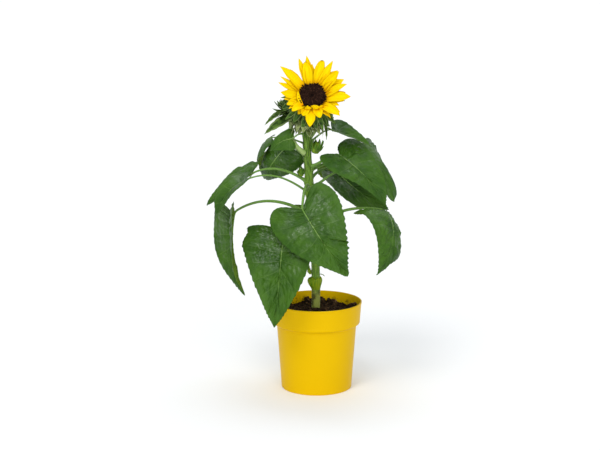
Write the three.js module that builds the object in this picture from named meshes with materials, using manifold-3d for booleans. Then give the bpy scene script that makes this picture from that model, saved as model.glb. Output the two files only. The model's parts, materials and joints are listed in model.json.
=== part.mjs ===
// A young sunflower in a plastic nursery pot: one stem, one open bloom, two side buds and
// seventeen stalked, heart-shaped leaves. Millimetres, +Z up. The origin is the middle of the
// pot's underside, +X is to the right as the bloom is looked at, and the bloom looks to -Y.
import * as THREE from "three";
import { mergeVertices } from "three/addons/utils/BufferGeometryUtils.js";
import Module from "manifold-3d";

const wasm = await Module();
wasm.setup();

// Driving dimensions of the pot
const POT_HEIGHT = 127;
const RIM_RADIUS = 65;
const RIM_LIP = 2.5; // height of the thicker edge at the very top
const BAND_HEIGHT = 31; // the tall collar under the rim
const BAND_LOWER_RADIUS = 62.3;
const WALL_TOP_RADIUS = 57.3; // where the tapered wall meets the collar
const STEP_DROP = 3.5;
const BASE_RADIUS = 50.6;
const WALL = 1.5;
const FOOT_HEIGHT = 3; // how far the drained part of the floor stands above the table
const FOOT_WIDTH = 4;
const FLOOR_TOP = 4.6;
const CENTRE_PAD_RADIUS = 14;
const DRAIN_HOLES = { count: 4, radius: 4, circle: 29 };
const FOOT_NOTCH = { width: 7, height: 2.6, length: 12, compass: 17 };
const POT_SIDES = 36; // of the soil too, so that the gap between the two is even
const CLEARANCE = 0.35; // gap kept between neighbouring solids

// Driving dimensions of the soil
const SOIL_LEVEL = 112;
const SOIL_TOP = 117.6; // the mound that the stem comes out of
const SOIL_MOUND = { flat: 9, slope: 14 };
// Each lump: across, towards the back, height, spread
const SOIL_LUMPS = [
  [2, 24, 10, 7],
  [26, 36, 6, 14],
  [50, 4, 9, 9],
  [-34, -24, 3, 12],
  [20, -40, 3, 14],
  [-26, 34, -2, 12],
];

// Driving dimensions of the stem
const STEM_FOOT = SOIL_TOP + CLEARANCE;
const STEM_FOOT_X = -1.2;
const STEM_LEAN = { from: 150, over: 220, across: -12.8, back: 4 };
const STEM_NECK = 372; // the lean is over here, and the neck starts to nod
const STEM_RADII = { foot: 6.1, top: 4.7 };
const STEM_SIDES = 12;
const STEM_STEPS = 15;
const STEM_TOP_HEIGHT = 414;

// Driving dimensions of the bloom. Its own frame has +Z where the bloom looks and +Y up.
const BLOOM_CENTRE = [-7, -8, 421];
const BLOOM_LOOKS_UP = 33;
const DISC = { seat: 1.3, seatRadius: 14.4, radius: 17.6, widest: 4.6, height: 8.4 };
const CUP = { top: -1, radius: 20, depth: 16, neckRadius: 5.8 };
const RAY_ROOT_RADIUS = 15.5;
const RAY_RING = { inner: 12.5, outer: 18, below: -0.6, above: 0.9 };
const RAY_THICKNESS = 0.8;
const RAY_ARCH = 9; // degrees that a petal bends outwards from root to tip
// Each ray petal: angle round the disc, length, width and lift out of the disc's plane
const RAYS = [
  [-6, 42, 15, 30],
  [13, 39, 14, 34],
  [26, 37, 13, 26],
  [36, 40, 14, 36],
  [46, 38, 14, 26],
  [57, 45, 13, 32],
  [76, 40.5, 15, 28],
  [97, 45.5, 15, 32],
  [103, 37, 16, 37],
  [110, 44.5, 12, 26],
  [138, 48, 16, 30],
  [160, 39, 10, 26],
  [180, 34, 14, 34],
  [200, 24, 13, 24],
  [224, 26, 14, 34],
  [245, 18, 14, 20],
  [266, 33, 15, 12],
  [288, 22, 15, 24],
  [318, 42, 16, 30],
  [336, 27, 13, 22],
];
// Each row of bracts on the cup: how many, where they are rooted, size and lift
const CUP_BRACTS = [
  { count: 17, rootRadius: 16, seat: -3, length: 32, width: 12, lift: -9 },
  { count: 13, rootRadius: 14.5, seat: -7, length: 27, width: 13, lift: -36 },
];
const BRACT_THICKNESS = 0.9;
const BRACT_ARCH = { cup: 24, bud: -20 }; // degrees that a bract bends outwards
const BRACT_GRID = { across: 2, along: 2 };
const RAY_GRID = { across: 2, along: 4 };
const BLOOM_SIDES = 24;

// Driving dimensions of the side buds: place, the way the bud looks, core, and its bracts
const BUDS = {
  left: {
    centre: [-41, 34, 403], looks: [150, 78], radius: 8.5, halfLength: 11,
    bracts: { count: 12, length: 25, width: 6, open: 38 },
    leafy: [
      { joint: [-46, 28, 395], tip: [208, -24], face: [270, 55], length: 39, width: 10, bend: [26, 0, 0] },
      { joint: [-49, 31, 401], tip: [192, -24], face: [250, 60], length: 30, width: 6, bend: [34, 0, 0] },
    ],
    stalk: { height: 341, compass: 205, rise: 35, bend: 0.5, rootRadius: 3.4, tipRadius: 3 },
  },
  right: {
    centre: [9, 21, 395], looks: [50, 58], radius: 6, halfLength: 8,
    bracts: { count: 9, length: 18, width: 5, open: 40 },
    leafy: [
      { joint: [7, 17, 391], tip: [300, -35], face: [330, 50], length: 38, width: 6, bend: [46, 0, 0] },
    ],
    stalk: { height: 361, compass: 40, rise: 42, bend: 0.4, rootRadius: 2.4, tipRadius: 2 },
  },
};
const BUD_FAN = { uneven: 16, foot: 0.75, footUp: -30 }; // how the bracts sit round a bud's core
const LEAFY_GRID = { across: 2, along: 5 };
// Small buds in the leaf axils: place on the stem, size, and the way they point
const AXIL_BUDS = {
  right: { height: 349, compass: -27, radius: 7.2, length: 21, lean: 12 },
  left: { height: 313, compass: 184, radius: 4.6, length: 14, lean: 8 },
};
const AXIL_STAND_OFF = CLEARANCE + 0.4; // a bud leans, so its side stands off by more than the gap
const AXIL_SIDES = 10;

// Driving dimensions of what is left of the seed leaves, low on the stem. away: from the stem's
// surface to a stub's root.
const SEED_COLLAR = { height: 154, halfHeight: 10, bulge: 2.2, thickness: 0.9, compass: 180, sides: 16 };
// How far the collar's wall stands out below and above its middle, at a share of the half height
const COLLAR_WALL = { waist: 0.3, shoulder: 1.3, share: 0.35 };
const SEED_STUBS = {
  left: {
    height: 167, compass: 190, away: 1, tip: [184, 45], face: [-80, 10],
    length: 16, width: 6.5, bend: [-20, 0, 0],
  },
  right: {
    height: 166.5, compass: -10, away: 0.5, tip: [-10, 8], face: [170, 75],
    length: 9, width: 3.4, bend: [55, 0, 0],
  },
};

// Heart-shaped blades: depth of the lobes behind the stalk, and how early the outline narrows
const LOBE_DEPTH = 0.387;
const LOBE_FALL = 2.2;
const POINT_FALL = 1.25;
const WIDEST = 0.735; // peak of the outline's width formula
const SLOT_HALF = 3; // half the slot in the blade that the stalk ends in
const PLAIN_FOOT_HALF = 0.6; // half the foot of a small blade with no lobes and no stalk
const SLOT_FALL = 6;
const RIB_START = 0.7;
const VEIN_SWEEP = 0.9; // below 1 the side veins leave the midrib steeply and then bend outwards
const BLADE_THICKNESS = 0.011; // of the blade's length
const LEAST_THICKNESS = 0.6;
const BLADE_GRID = { across: 6, along: 8 };
const STALK_RADII = { root: 2.4, tip: 1.4 };
const STALK_PULL = { root: 0.39, tip: 0.36 };
const STALK_STAND_OFF = 0.6; // from the stem's surface to where a stalk starts
const STALK_SHORT = 0.5; // from a stalk's end to the blade
const STALK_SIDES = 6;
const STALK_STEPS = 6;

// Each leaf. stalk: height on the stem, rise where it leaves, fall where it arrives, and how much
// sooner it ends where a lobe of the blade curls over it.
// joint: where the stalk meets the blade (across, towards the back, up).
// tip and face: where the midrib sets out to and where the blade faces (compass angle, angle up).
// bend: how the midrib droops, bends sideways and twists along its length.
// fold: how far the halves stand up at the midrib, and how far they curl down to the edge.
const LEAVES = {
  front: {
    stalk: [290, 40, 70], joint: [-21, -70, 274], tip: [-48, -46], face: [-104, 21],
    length: 125, width: 102, bend: [-14, 7, -16], fold: [14, 30],
  },
  front_low: {
    stalk: [212, 45, 30], joint: [-46, -46, 237], tip: [-99, -42], face: [-120, 18],
    length: 140, width: 110, bend: [42, -13, -30], fold: [17, -1],
  },
  left_low: {
    stalk: [253, 35, 34, -0.4], joint: [-118, -23, 260], tip: [246, -73], face: [201, 10],
    length: 119, width: 87, bend: [29, 7, 3], fold: [33, 25],
  },
  right_low: {
    stalk: [239, 36, 8, 0.8], joint: [95, -30, 265], tip: [-67, -10], face: [-49, 17],
    length: 123, width: 100, bend: [87, 8, -21], fold: [-3, 45],
  },
  left_back: {
    stalk: [301, 32, 25], joint: [-92, 19, 310], tip: [160, -29], face: [240, 75],
    length: 90, width: 71, bend: [13, 2, -25], fold: [20, 21],
  },
  left_front: {
    stalk: [286, 37, 19], joint: [-98, -30, 309], tip: [187, -20], face: [230, 90],
    length: 68, width: 66, bend: [55, 18, -35], fold: [18, 17],
  },
  left_upper: {
    stalk: [338, 30, 10], joint: [-42, 17, 349], tip: [182, -41], face: [255, 34],
    length: 89, width: 71, bend: [87, 0, -32], fold: [-7, 54],
  },
  left_curled: {
    stalk: [354, 15, 5], joint: [-66, 44, 358], tip: [168, -30], face: [190, 55],
    length: 44, width: 36, bend: [60, 0, 0], fold: [2, 30],
  },
  left_small: {
    stalk: [368, 20, 30], joint: [-35, -7, 363], tip: [181, -6], face: [251, 52],
    length: 38, width: 44, bend: [51, 11, -4], fold: [8, 22],
  },
  right_upper: {
    stalk: [357, 35, 0], joint: [21, 9, 374], tip: [-12, -14], face: [-60, 80],
    length: 60, width: 53, bend: [22, 18, 10], fold: [20, 3],
  },
  right_middle: {
    stalk: [322, 19, -5], joint: [30, -8, 341], tip: [-28, -26], face: [-52, 44],
    length: 100, width: 87, bend: [34, -5, 6], fold: [20, 26],
  },
  right_front: {
    stalk: [293, 20, -15], joint: [29, 10, 313], tip: [2, -46], face: [-120, -20],
    length: 92, width: 74, bend: [-11, 29, -30], fold: [-21, 0],
  },
  right_far: {
    stalk: [317, 14, -30, 2], joint: [66, 62, 347], tip: [-40, -44], face: [-35, 30],
    length: 102, width: 99, bend: [13, -7, -10], fold: [10, 53],
  },
  back_low: {
    stalk: [224, 40, 15], joint: [-3, 52, 252], tip: [74, -38], face: [75, 50],
    length: 88, width: 70, bend: [25, 0, 0], fold: [10, 25],
  },
  back_left: {
    stalk: [236, 40, 15], joint: [-36, 60, 220], tip: [140, -46], face: [112, 35],
    length: 90, width: 76, bend: [20, 0, 0], fold: [10, 25],
  },
  back_right: {
    stalk: [304, 30, 0], joint: [33, 64, 312], tip: [52, -42], face: [70, 40],
    length: 88, width: 72, bend: [30, 0, 0], fold: [8, 30],
  },
  back_upper: {
    stalk: [310, 25, 5], joint: [-54, 70, 334], tip: [118, -30], face: [110, 50],
    length: 68, width: 58, bend: [30, 0, 0], fold: [8, 30],
  },
};

const COLOURS = {
  pot: ["#e6bb00", 0.42],
  soil: ["#2a1a15", 0.95],
  stem: ["#6f9a3f", 0.6],
  blade: ["#3f6f26", 0.45],
  petal: ["#f7d000", 0.6],
  disc: ["#24120e", 0.9],
  bract: ["#4f7d33", 0.6],
};

const MERGE = 1e-4;
const radians = THREE.MathUtils.degToRad;
const point = (coordinates) => new THREE.Vector3(...coordinates);

// The way that points to a compass angle (from +X towards +Y) and an angle up, both in degrees.
function heading([compass, up]) {
  const flat = Math.cos(radians(up));
  const turn = radians(compass);
  return new THREE.Vector3(Math.cos(turn) * flat, Math.sin(turn) * flat, Math.sin(radians(up)));
}

// Rises from 0 to 1 with no kink at either end.
function eased(share) {
  const held = THREE.MathUtils.clamp(share, 0, 1);
  return held * held * (3 - 2 * held);
}

// Moves each vertex of a closed geometry by a shape function, merges the vertices that meet
// and drops the triangles that closed up.
function shaped(geometry, place) {
  const position = geometry.getAttribute("position");
  for (let i = 0; i < position.count; i += 1) {
    const moved = place(position.getX(i), position.getY(i), position.getZ(i));
    position.setXYZ(i, moved.x, moved.y, moved.z);
  }
  geometry.deleteAttribute("normal");
  geometry.deleteAttribute("uv");
  const merged = mergeVertices(geometry, MERGE);
  const corners = merged.index.array;
  const kept = [];
  for (let i = 0; i < corners.length; i += 3) {
    const [a, b, c] = corners.slice(i, i + 3);
    if (a !== b && b !== c && c !== a) kept.push(a, b, c);
  }
  merged.setIndex(kept);
  merged.computeVertexNormals();
  return merged;
}

const asIs = (x, y, z) => new THREE.Vector3(x, y, z);

// A closed geometry as a solid that can be joined and cut.
function solidOf(geometry) {
  const clean = shaped(geometry.clone(), asIs);
  return new wasm.Manifold(
    new wasm.Mesh({
      numProp: 3,
      vertProperties: new Float32Array(clean.getAttribute("position").array),
      triVerts: new Uint32Array(clean.index.array),
    }),
  );
}

function geometryOf(solid) {
  const mesh = solid.getMesh();
  const corners = new Float32Array(mesh.numVert * 3);
  for (let i = 0; i < mesh.numVert; i += 1) {
    const start = i * mesh.numProp;
    corners.set(mesh.vertProperties.subarray(start, start + 3), i * 3);
  }
  const geometry = new THREE.BufferGeometry();
  geometry.setAttribute("position", new THREE.BufferAttribute(corners, 3));
  geometry.setIndex(new THREE.BufferAttribute(mesh.triVerts, 1));
  geometry.computeVertexNormals();
  return geometry;
}

// Joins closed geometries into one body, with any hollow that the joining sealed filled in.
function joined(geometries) {
  const whole = geometries.map(solidOf).reduce((sum, piece) => sum.add(piece));
  const shells = whole.decompose().sort((a, b) => b.volume() - a.volume());
  return geometryOf(shells[0]);
}

// A profile of [radius, height] corners turned about +Z.
function turned(profile, sides) {
  const corners = profile.map(([radius, height]) => new THREE.Vector2(radius, height));
  return new THREE.LatheGeometry(corners, sides).rotateX(Math.PI / 2);
}

// A closed tube along a curve, round but of changing radius. level is a fixed direction that
// the cross-sections' first axis keeps to; cutAlong is the normal of the flat cut at the start.
function taperedTube(curve, radiusAt, sides, steps, level, cutAlong) {
  return shaped(new THREE.CylinderGeometry(1, 1, 1, sides, steps), (x, y, z) => {
    const share = y + 0.5;
    const along = share === 0 && cutAlong ? cutAlong : curve.getTangent(share);
    const across = level.clone().addScaledVector(along, -level.dot(along)).normalize();
    const outward = across.clone().cross(along);
    return curve
      .getPoint(share)
      .addScaledVector(across, x * radiusAt(share))
      .addScaledVector(outward, z * radiusAt(share));
  });
}

function part(name, geometry, [colour, roughness]) {
  const material = new THREE.MeshStandardMaterial({ color: colour, roughness, metalness: 0 });
  const mesh = new THREE.Mesh(geometry, material);
  mesh.name = name;
  return mesh;
}

// The pot: a tapered wall under a tall collar, on a foot ring with two small openings
const BAND_BOTTOM = POT_HEIGHT - BAND_HEIGHT;
const WALL_TOP = BAND_BOTTOM - STEP_DROP;

function makePot() {
  const channelInner = CENTRE_PAD_RADIUS + 1;
  const footInner = BASE_RADIUS - FOOT_WIDTH;
  const body = turned(
    [
      [0, 0],
      [CENTRE_PAD_RADIUS, 0],
      [channelInner, FOOT_HEIGHT],
      [footInner - 1, FOOT_HEIGHT],
      [footInner, 0],
      [BASE_RADIUS, 0],
      [WALL_TOP_RADIUS, WALL_TOP],
      [WALL_TOP_RADIUS + 1.5, WALL_TOP + 1.5],
      [BAND_LOWER_RADIUS, BAND_BOTTOM],
      [RIM_RADIUS - 0.6, POT_HEIGHT - RIM_LIP],
      [RIM_RADIUS, POT_HEIGHT - RIM_LIP + 0.6],
      [RIM_RADIUS, POT_HEIGHT - 0.5],
      [RIM_RADIUS - 0.5, POT_HEIGHT],
      [RIM_RADIUS - WALL - 0.5, POT_HEIGHT],
      [RIM_RADIUS - WALL - 0.8, POT_HEIGHT - RIM_LIP],
      [BAND_LOWER_RADIUS - WALL, BAND_BOTTOM + 1],
      [WALL_TOP_RADIUS - WALL, WALL_TOP + 1.5],
      [BASE_RADIUS - WALL, FLOOR_TOP],
      [0, FLOOR_TOP],
    ],
    POT_SIDES,
  );
  let solid = solidOf(body);
  for (let i = 0; i < DRAIN_HOLES.count; i += 1) {
    const turn = ((i + 0.5) * 2 * Math.PI) / DRAIN_HOLES.count;
    const hole = new THREE.CylinderGeometry(DRAIN_HOLES.radius, DRAIN_HOLES.radius, 2 * FLOOR_TOP, 10);
    hole.rotateX(Math.PI / 2);
    hole.translate(DRAIN_HOLES.circle * Math.cos(turn), DRAIN_HOLES.circle * Math.sin(turn), FLOOR_TOP);
    solid = solid.subtract(solidOf(hole));
  }
  for (const side of [0, 180]) {
    const notch = new THREE.BoxGeometry(FOOT_NOTCH.length, FOOT_NOTCH.width, 2 * FOOT_NOTCH.height);
    notch.translate(BASE_RADIUS - FOOT_WIDTH / 2, 0, 0);
    notch.rotateZ(radians(FOOT_NOTCH.compass + side));
    solid = solid.subtract(solidOf(notch));
  }
  return part("pot", geometryOf(solid), COLOURS.pot);
}

// The soil fills the pot to just under the collar's rim, lumpy and heaped up round the stem
function soilHeight(x, y) {
  let height = SOIL_LEVEL;
  for (const [across, back, tall, spread] of SOIL_LUMPS) {
    const away = Math.hypot(x - across, y - back) / spread;
    height += tall * Math.exp((-away * away) / 2);
  }
  const fromStem = Math.hypot(x - STEM_FOOT_X, y);
  const mound = 1 - eased((fromStem - SOIL_MOUND.flat) / SOIL_MOUND.slope);
  return THREE.MathUtils.lerp(height, SOIL_TOP, mound);
}

function makeSoil() {
  const inset = WALL + 1.5 * CLEARANCE;
  const edge = BAND_LOWER_RADIUS - inset + 0.9;
  const profile = [
    [0, FLOOR_TOP + CLEARANCE],
    [BASE_RADIUS - inset, FLOOR_TOP + CLEARANCE],
    [WALL_TOP_RADIUS - inset, WALL_TOP + 1.5],
    [BAND_LOWER_RADIUS - inset, BAND_BOTTOM + 1.5],
    [edge, SOIL_LEVEL],
    [0.8 * edge, SOIL_LEVEL],
    [0.58 * edge, SOIL_LEVEL],
    [0.36 * edge, SOIL_LEVEL],
    [SOIL_MOUND.flat, SOIL_LEVEL],
    [0, SOIL_LEVEL],
  ];
  const heaped = shaped(turned(profile, POT_SIDES), (x, y, z) => {
    return new THREE.Vector3(x, y, z < SOIL_LEVEL - 1 ? z : soilHeight(x, y));
  });
  return part("soil", heaped, COLOURS.soil);
}

// The stem: flat on the soil, leaning to the left, then nodding forward into the bloom's cup
const BLOOM_LOOKS = heading([-90, BLOOM_LOOKS_UP]);

function stemAxis(height) {
  const share = eased((height - STEM_LEAN.from) / STEM_LEAN.over);
  return new THREE.Vector3(STEM_FOOT_X + STEM_LEAN.across * share, STEM_LEAN.back * share, height);
}

// The way straight out of the stem's surface on one side, which the stem's lean tilts a little.
function stemOutward(height, outward) {
  const along = stemAxis(height + 1).sub(stemAxis(height - 1)).normalize();
  return outward.clone().addScaledVector(along, -outward.dot(along)).normalize();
}

function stemRadius(height) {
  const share = (height - STEM_FOOT) / (STEM_TOP_HEIGHT - STEM_FOOT);
  return THREE.MathUtils.lerp(STEM_RADII.foot, STEM_RADII.top, share);
}

function makeStem() {
  const cupBase = point(BLOOM_CENTRE).addScaledVector(BLOOM_LOOKS, -(CUP.depth + CLEARANCE));
  const straight = Array.from({ length: 8 }, (_, i) =>
    stemAxis(THREE.MathUtils.lerp(STEM_FOOT, STEM_NECK, i / 7)),
  );
  const neck = [
    cupBase.clone().add(new THREE.Vector3(-4.5, 5.5, -26)),
    cupBase.clone().add(new THREE.Vector3(-2, 6.6, -12)),
    cupBase.clone().addScaledVector(BLOOM_LOOKS, -5),
    cupBase,
  ];
  const curve = new THREE.CatmullRomCurve3([...straight, ...neck]);
  const radiusAt = (share) => THREE.MathUtils.lerp(STEM_RADII.foot, STEM_RADII.top, share);
  const level = new THREE.Vector3(1, 0, 0);
  const cut = new THREE.Vector3(0, 0, 1);
  const geometry = taperedTube(curve, radiusAt, STEM_SIDES, STEM_STEPS, level, cut);
  return part("stem", geometry, COLOURS.stem);
}

// A blade's midrib is an arc of a helix: it droops, bends sideways and twists at a steady rate.
// Gives the point at a distance from the joint, the way along and the way that the blade faces.
function midribAt(leaf, distance) {
  const along = heading(leaf.tip);
  const face = heading(leaf.face);
  face.addScaledVector(along, -face.dot(along)).normalize();
  const [droop, aside, twist] = leaf.bend.map(radians);
  const spin = face.clone().cross(along).multiplyScalar(droop);
  spin.addScaledVector(face, aside).addScaledVector(along, twist);
  const rate = Math.max(spin.length(), 1e-6) / leaf.length;
  const axis = spin.normalize();
  const angle = rate * distance;
  const kept = axis.clone().multiplyScalar(axis.dot(along));
  const centre = point(leaf.joint)
    .addScaledVector(kept, distance)
    .addScaledVector(along.clone().sub(kept), Math.sin(angle) / rate)
    .addScaledVector(axis.clone().cross(along), (1 - Math.cos(angle)) / rate);
  return {
    centre,
    along: along.applyAxisAngle(axis, angle),
    face: face.applyAxisAngle(axis, angle),
  };
}

function halfThickness(leaf) {
  return Math.max(leaf.length * BLADE_THICKNESS, LEAST_THICKNESS) / 2;
}

// A point of a blade: across from -1 to 1, along from 0 at the stalk to 1 at the tip, and
// layer from -1 underneath to 1 on top. The outline is a cosine arc drawn back into two lobes.
function bladePoint(leaf, across, along, layer) {
  const { length, width } = leaf;
  const share = Math.abs(across);
  const rise = Math.sin(Math.PI * along);
  const fall = Math.cos((Math.PI * along) / 2);
  const lobes = leaf.plain ? 0 : LOBE_DEPTH;
  const slot = leaf.plain ? PLAIN_FOOT_HALF : SLOT_HALF;
  const edgeX = length * ((1 - Math.cos(Math.PI * along)) / 2 - lobes * rise * fall ** LOBE_FALL);
  const edgeY = ((width / 2) * rise * fall ** POINT_FALL) / WIDEST + slot * (1 - along) ** SLOT_FALL;
  const ribX = RIB_START + (length - RIB_START) * along ** 2;
  const rib = midribAt(leaf, ribX + (edgeX - ribX) * share ** VEIN_SWEEP);
  const out = edgeY * share;
  const [fold, curl] = (leaf.fold ?? [0, 0]).map(radians);
  const curlRate = (curl || 1e-6) / (width / 2);
  const lean = fold - curlRate * out;
  const sideways = (Math.sin(fold) - Math.sin(lean)) / curlRate;
  const up = (Math.cos(lean) - Math.cos(fold)) / curlRate;
  const right = rib.along.clone().cross(rib.face).multiplyScalar(Math.sign(across));
  const normal = rib.face.clone().multiplyScalar(Math.cos(lean)).addScaledVector(right, -Math.sin(lean));
  return rib.centre
    .addScaledVector(right, sideways)
    .addScaledVector(rib.face, up)
    .addScaledVector(normal, halfThickness(leaf) * layer);
}

function bladeGeometry(leaf, grid) {
  const box = new THREE.BoxGeometry(2, 1, 2, grid.across, grid.along, 1);
  return shaped(box, (x, y, z) => bladePoint(leaf, x, y + 0.5, z));
}

// A stalk is one arc in the upright plane through the stem and the joint. It starts with an
// upright cut against the stem and ends just short of the blade.
function stalkGeometry(leaf) {
  const [height, riseDegrees, fallDegrees, slack = 0] = leaf.stalk;
  const rise = radians(riseDegrees);
  const fall = radians(fallDegrees);
  const root = stemAxis(height);
  const joint = point(leaf.joint);
  const outward = joint.clone().sub(root).setZ(0);
  const reach = outward.length();
  outward.normalize();
  const up = new THREE.Vector3(0, 0, 1);
  const leaving = outward.clone().multiplyScalar(Math.cos(rise)).addScaledVector(up, Math.sin(rise));
  const arriving = outward.clone().multiplyScalar(Math.cos(fall)).addScaledVector(up, -Math.sin(fall));
  const size = THREE.MathUtils.clamp(leaf.length / 90, 0.6, 1.15);
  const rib = midribAt(leaf, 0);
  const edgeOn = Math.abs(rib.along.clone().cross(rib.face).dot(arriving));
  const through = halfThickness(leaf) * Math.abs(rib.face.dot(arriving));
  const short = STALK_SHORT + slack + through + size * STALK_RADII.tip * edgeOn;
  const start = root.clone().addScaledVector(outward, stemRadius(height) + STALK_STAND_OFF);
  const end = joint.clone().addScaledVector(arriving, -short);
  const curve = new THREE.CubicBezierCurve3(
    start,
    start.clone().addScaledVector(leaving, STALK_PULL.root * reach),
    joint.clone().addScaledVector(arriving, -STALK_PULL.tip * reach),
    end,
  );
  const radiusAt = (share) => size * THREE.MathUtils.lerp(STALK_RADII.root, STALK_RADII.tip, share);
  const level = outward.clone().cross(up);
  return taperedTube(curve, radiusAt, STALK_SIDES, STALK_STEPS, level, stemOutward(height, outward));
}

function makeLeaves() {
  const leaves = new THREE.Group();
  for (const [name, leaf] of Object.entries(LEAVES)) {
    leaves.add(part(`petiole_${name}`, stalkGeometry(leaf), COLOURS.stem));
    leaves.add(part(`leaf_${name}`, bladeGeometry(leaf, BLADE_GRID), COLOURS.blade));
  }
  return leaves;
}

// A narrow pointed blade that grows from a root point: a ray petal or a bract. It widens from a
// narrow foot, bends towards its back by arch degrees and is slightly channelled.
function spear(root, along, face, length, width, thickness, arch, grid) {
  const channel = 0.16 * width;
  const footWidth = 0.45;
  const bend = radians(arch);
  const right = along.clone().cross(face);
  const box = new THREE.BoxGeometry(2, 1, 2, grid.across, grid.along, 1);
  return shaped(box, (x, y, z) => {
    const share = y + 0.5;
    const swell = Math.sin(Math.PI * share ** 0.85) ** 0.8;
    const half = (width / 2) * Math.min(1, (1 - share) * footWidth + swell);
    const angle = bend * (share - 0.5);
    const reach = length * share;
    const edge = Math.abs(x);
    return root
      .clone()
      .addScaledVector(along, reach * Math.cos(angle))
      .addScaledVector(face, -reach * Math.sin(angle) + channel * edge * edge * swell)
      .addScaledVector(right, x * half)
      .addScaledVector(face, (z * thickness) / 2);
  });
}

// The bloom: a green cup with pointed bracts, one ring of fused ray petals and the dark disc
function makeBloom() {
  const bloom = new THREE.Group();
  bloom.position.set(...BLOOM_CENTRE);
  bloom.rotation.x = radians(90 - BLOOM_LOOKS_UP);

  const cup = turned(
    [
      [0, -CUP.depth],
      [CUP.neckRadius, -CUP.depth],
      [0.62 * CUP.radius, -0.72 * CUP.depth],
      [0.9 * CUP.radius, -0.45 * CUP.depth],
      [CUP.radius, -0.2 * CUP.depth],
      [CUP.radius - 1, CUP.top],
      [0, CUP.top],
    ],
    BLOOM_SIDES,
  );
  const bracts = CUP_BRACTS.flatMap((row) =>
    Array.from({ length: row.count }, (_, i) => {
      const turn = (360 * i) / row.count;
      const out = heading([turn, row.lift]);
      const face = heading([turn, row.lift + 90]);
      const root = heading([turn, 0]).multiplyScalar(row.rootRadius).setZ(row.seat);
      return spear(root, out, face, row.length, row.width, BRACT_THICKNESS, BRACT_ARCH.cup, BRACT_GRID);
    }),
  );
  bloom.add(part("bloom_cup", joined([cup, ...bracts]), COLOURS.bract));

  const ring = turned(
    [
      [RAY_RING.inner, RAY_RING.below],
      [RAY_RING.outer, RAY_RING.below],
      [RAY_RING.outer, RAY_RING.above],
      [RAY_RING.inner, RAY_RING.above],
      [RAY_RING.inner, RAY_RING.below],
    ],
    BLOOM_SIDES,
  );
  const rays = RAYS.map(([turn, length, width, lift]) => {
    const out = heading([turn, lift]);
    const face = heading([turn, lift + 90]);
    const root = heading([turn, 0]).multiplyScalar(RAY_ROOT_RADIUS);
    return spear(root, out, face, length, width, RAY_THICKNESS, RAY_ARCH, RAY_GRID);
  });
  bloom.add(part("ray_petals", joined([ring, ...rays]), COLOURS.petal));

  const disc = turned(
    [
      [0, DISC.seat],
      [DISC.seatRadius, DISC.seat],
      [DISC.radius - 0.4, DISC.widest - 1],
      [DISC.radius, DISC.widest],
      [0.85 * DISC.radius, 0.82 * DISC.height],
      [0.45 * DISC.radius, 0.97 * DISC.height],
      [0, DISC.height],
    ],
    BLOOM_SIDES,
  );
  bloom.add(part("disc", disc, COLOURS.disc));
  return bloom;
}

// A side bud: an egg-shaped core with a fan of narrow bracts and a few leafy ones, on its stalk
function budGeometry(bud) {
  const looks = heading(bud.looks);
  const upright = new THREE.Quaternion().setFromUnitVectors(new THREE.Vector3(0, 0, 1), looks);
  const core = new THREE.SphereGeometry(1, 10, 6).rotateX(Math.PI / 2);
  core.scale(bud.radius, bud.radius, bud.halfLength);
  core.applyQuaternion(upright);
  core.translate(...bud.centre);
  const { count, length, width, open } = bud.bracts;
  const fan = Array.from({ length: count }, (_, i) => {
    const turn = (360 * i) / count;
    const spread = open + BUD_FAN.uneven * ((i % 2) - 0.5);
    const out = heading([turn, 90 - spread]).applyQuaternion(upright);
    const face = heading([turn, 180 - spread]).applyQuaternion(upright);
    const foot = heading([turn, BUD_FAN.footUp]).applyQuaternion(upright);
    foot.multiplyScalar(BUD_FAN.foot * bud.radius);
    foot.add(point(bud.centre));
    return spear(foot, out, face, length, width, BRACT_THICKNESS, BRACT_ARCH.bud, BRACT_GRID);
  });
  const leafy = bud.leafy.map((leaf) => bladeGeometry({ ...leaf, plain: true }, LEAFY_GRID));
  return joined([core, ...fan, ...leafy]);
}

function budStalkGeometry(bud) {
  const { height, compass, rise, bend, rootRadius, tipRadius } = bud.stalk;
  const outward = heading([compass, 0]);
  const looks = heading(bud.looks);
  const start = stemAxis(height).addScaledVector(outward, stemRadius(height) + STALK_STAND_OFF);
  const end = point(bud.centre).addScaledVector(looks, -(bud.halfLength + CLEARANCE));
  const reach = start.distanceTo(end);
  const curve = new THREE.CubicBezierCurve3(
    start,
    start.clone().addScaledVector(heading([compass, rise]), bend * reach),
    end.clone().addScaledVector(looks, -bend * reach),
    end,
  );
  const radiusAt = (share) => THREE.MathUtils.lerp(rootRadius, tipRadius, share);
  const level = outward.clone().cross(new THREE.Vector3(0, 0, 1));
  return taperedTube(curve, radiusAt, STALK_SIDES, STALK_STEPS, level, stemOutward(height, outward));
}

// A small closed bud that sits in a leaf's axil, pointed at its top
function axilBudGeometry(bud) {
  const outward = heading([bud.compass, 0]);
  const looks = heading([bud.compass, 90 - bud.lean]);
  const upright = new THREE.Quaternion().setFromUnitVectors(new THREE.Vector3(0, 0, 1), looks);
  const away = stemRadius(bud.height) + bud.radius + AXIL_STAND_OFF;
  const geometry = turned(
    [
      [0, -0.4 * bud.length],
      [0.6 * bud.radius, -0.33 * bud.length],
      [bud.radius, -0.05 * bud.length],
      [0.75 * bud.radius, 0.25 * bud.length],
      [0, 0.6 * bud.length],
    ],
    AXIL_SIDES,
  );
  geometry.applyQuaternion(upright);
  const centre = stemAxis(bud.height).addScaledVector(outward, away);
  return geometry.translate(centre.x, centre.y, centre.z);
}

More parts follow.
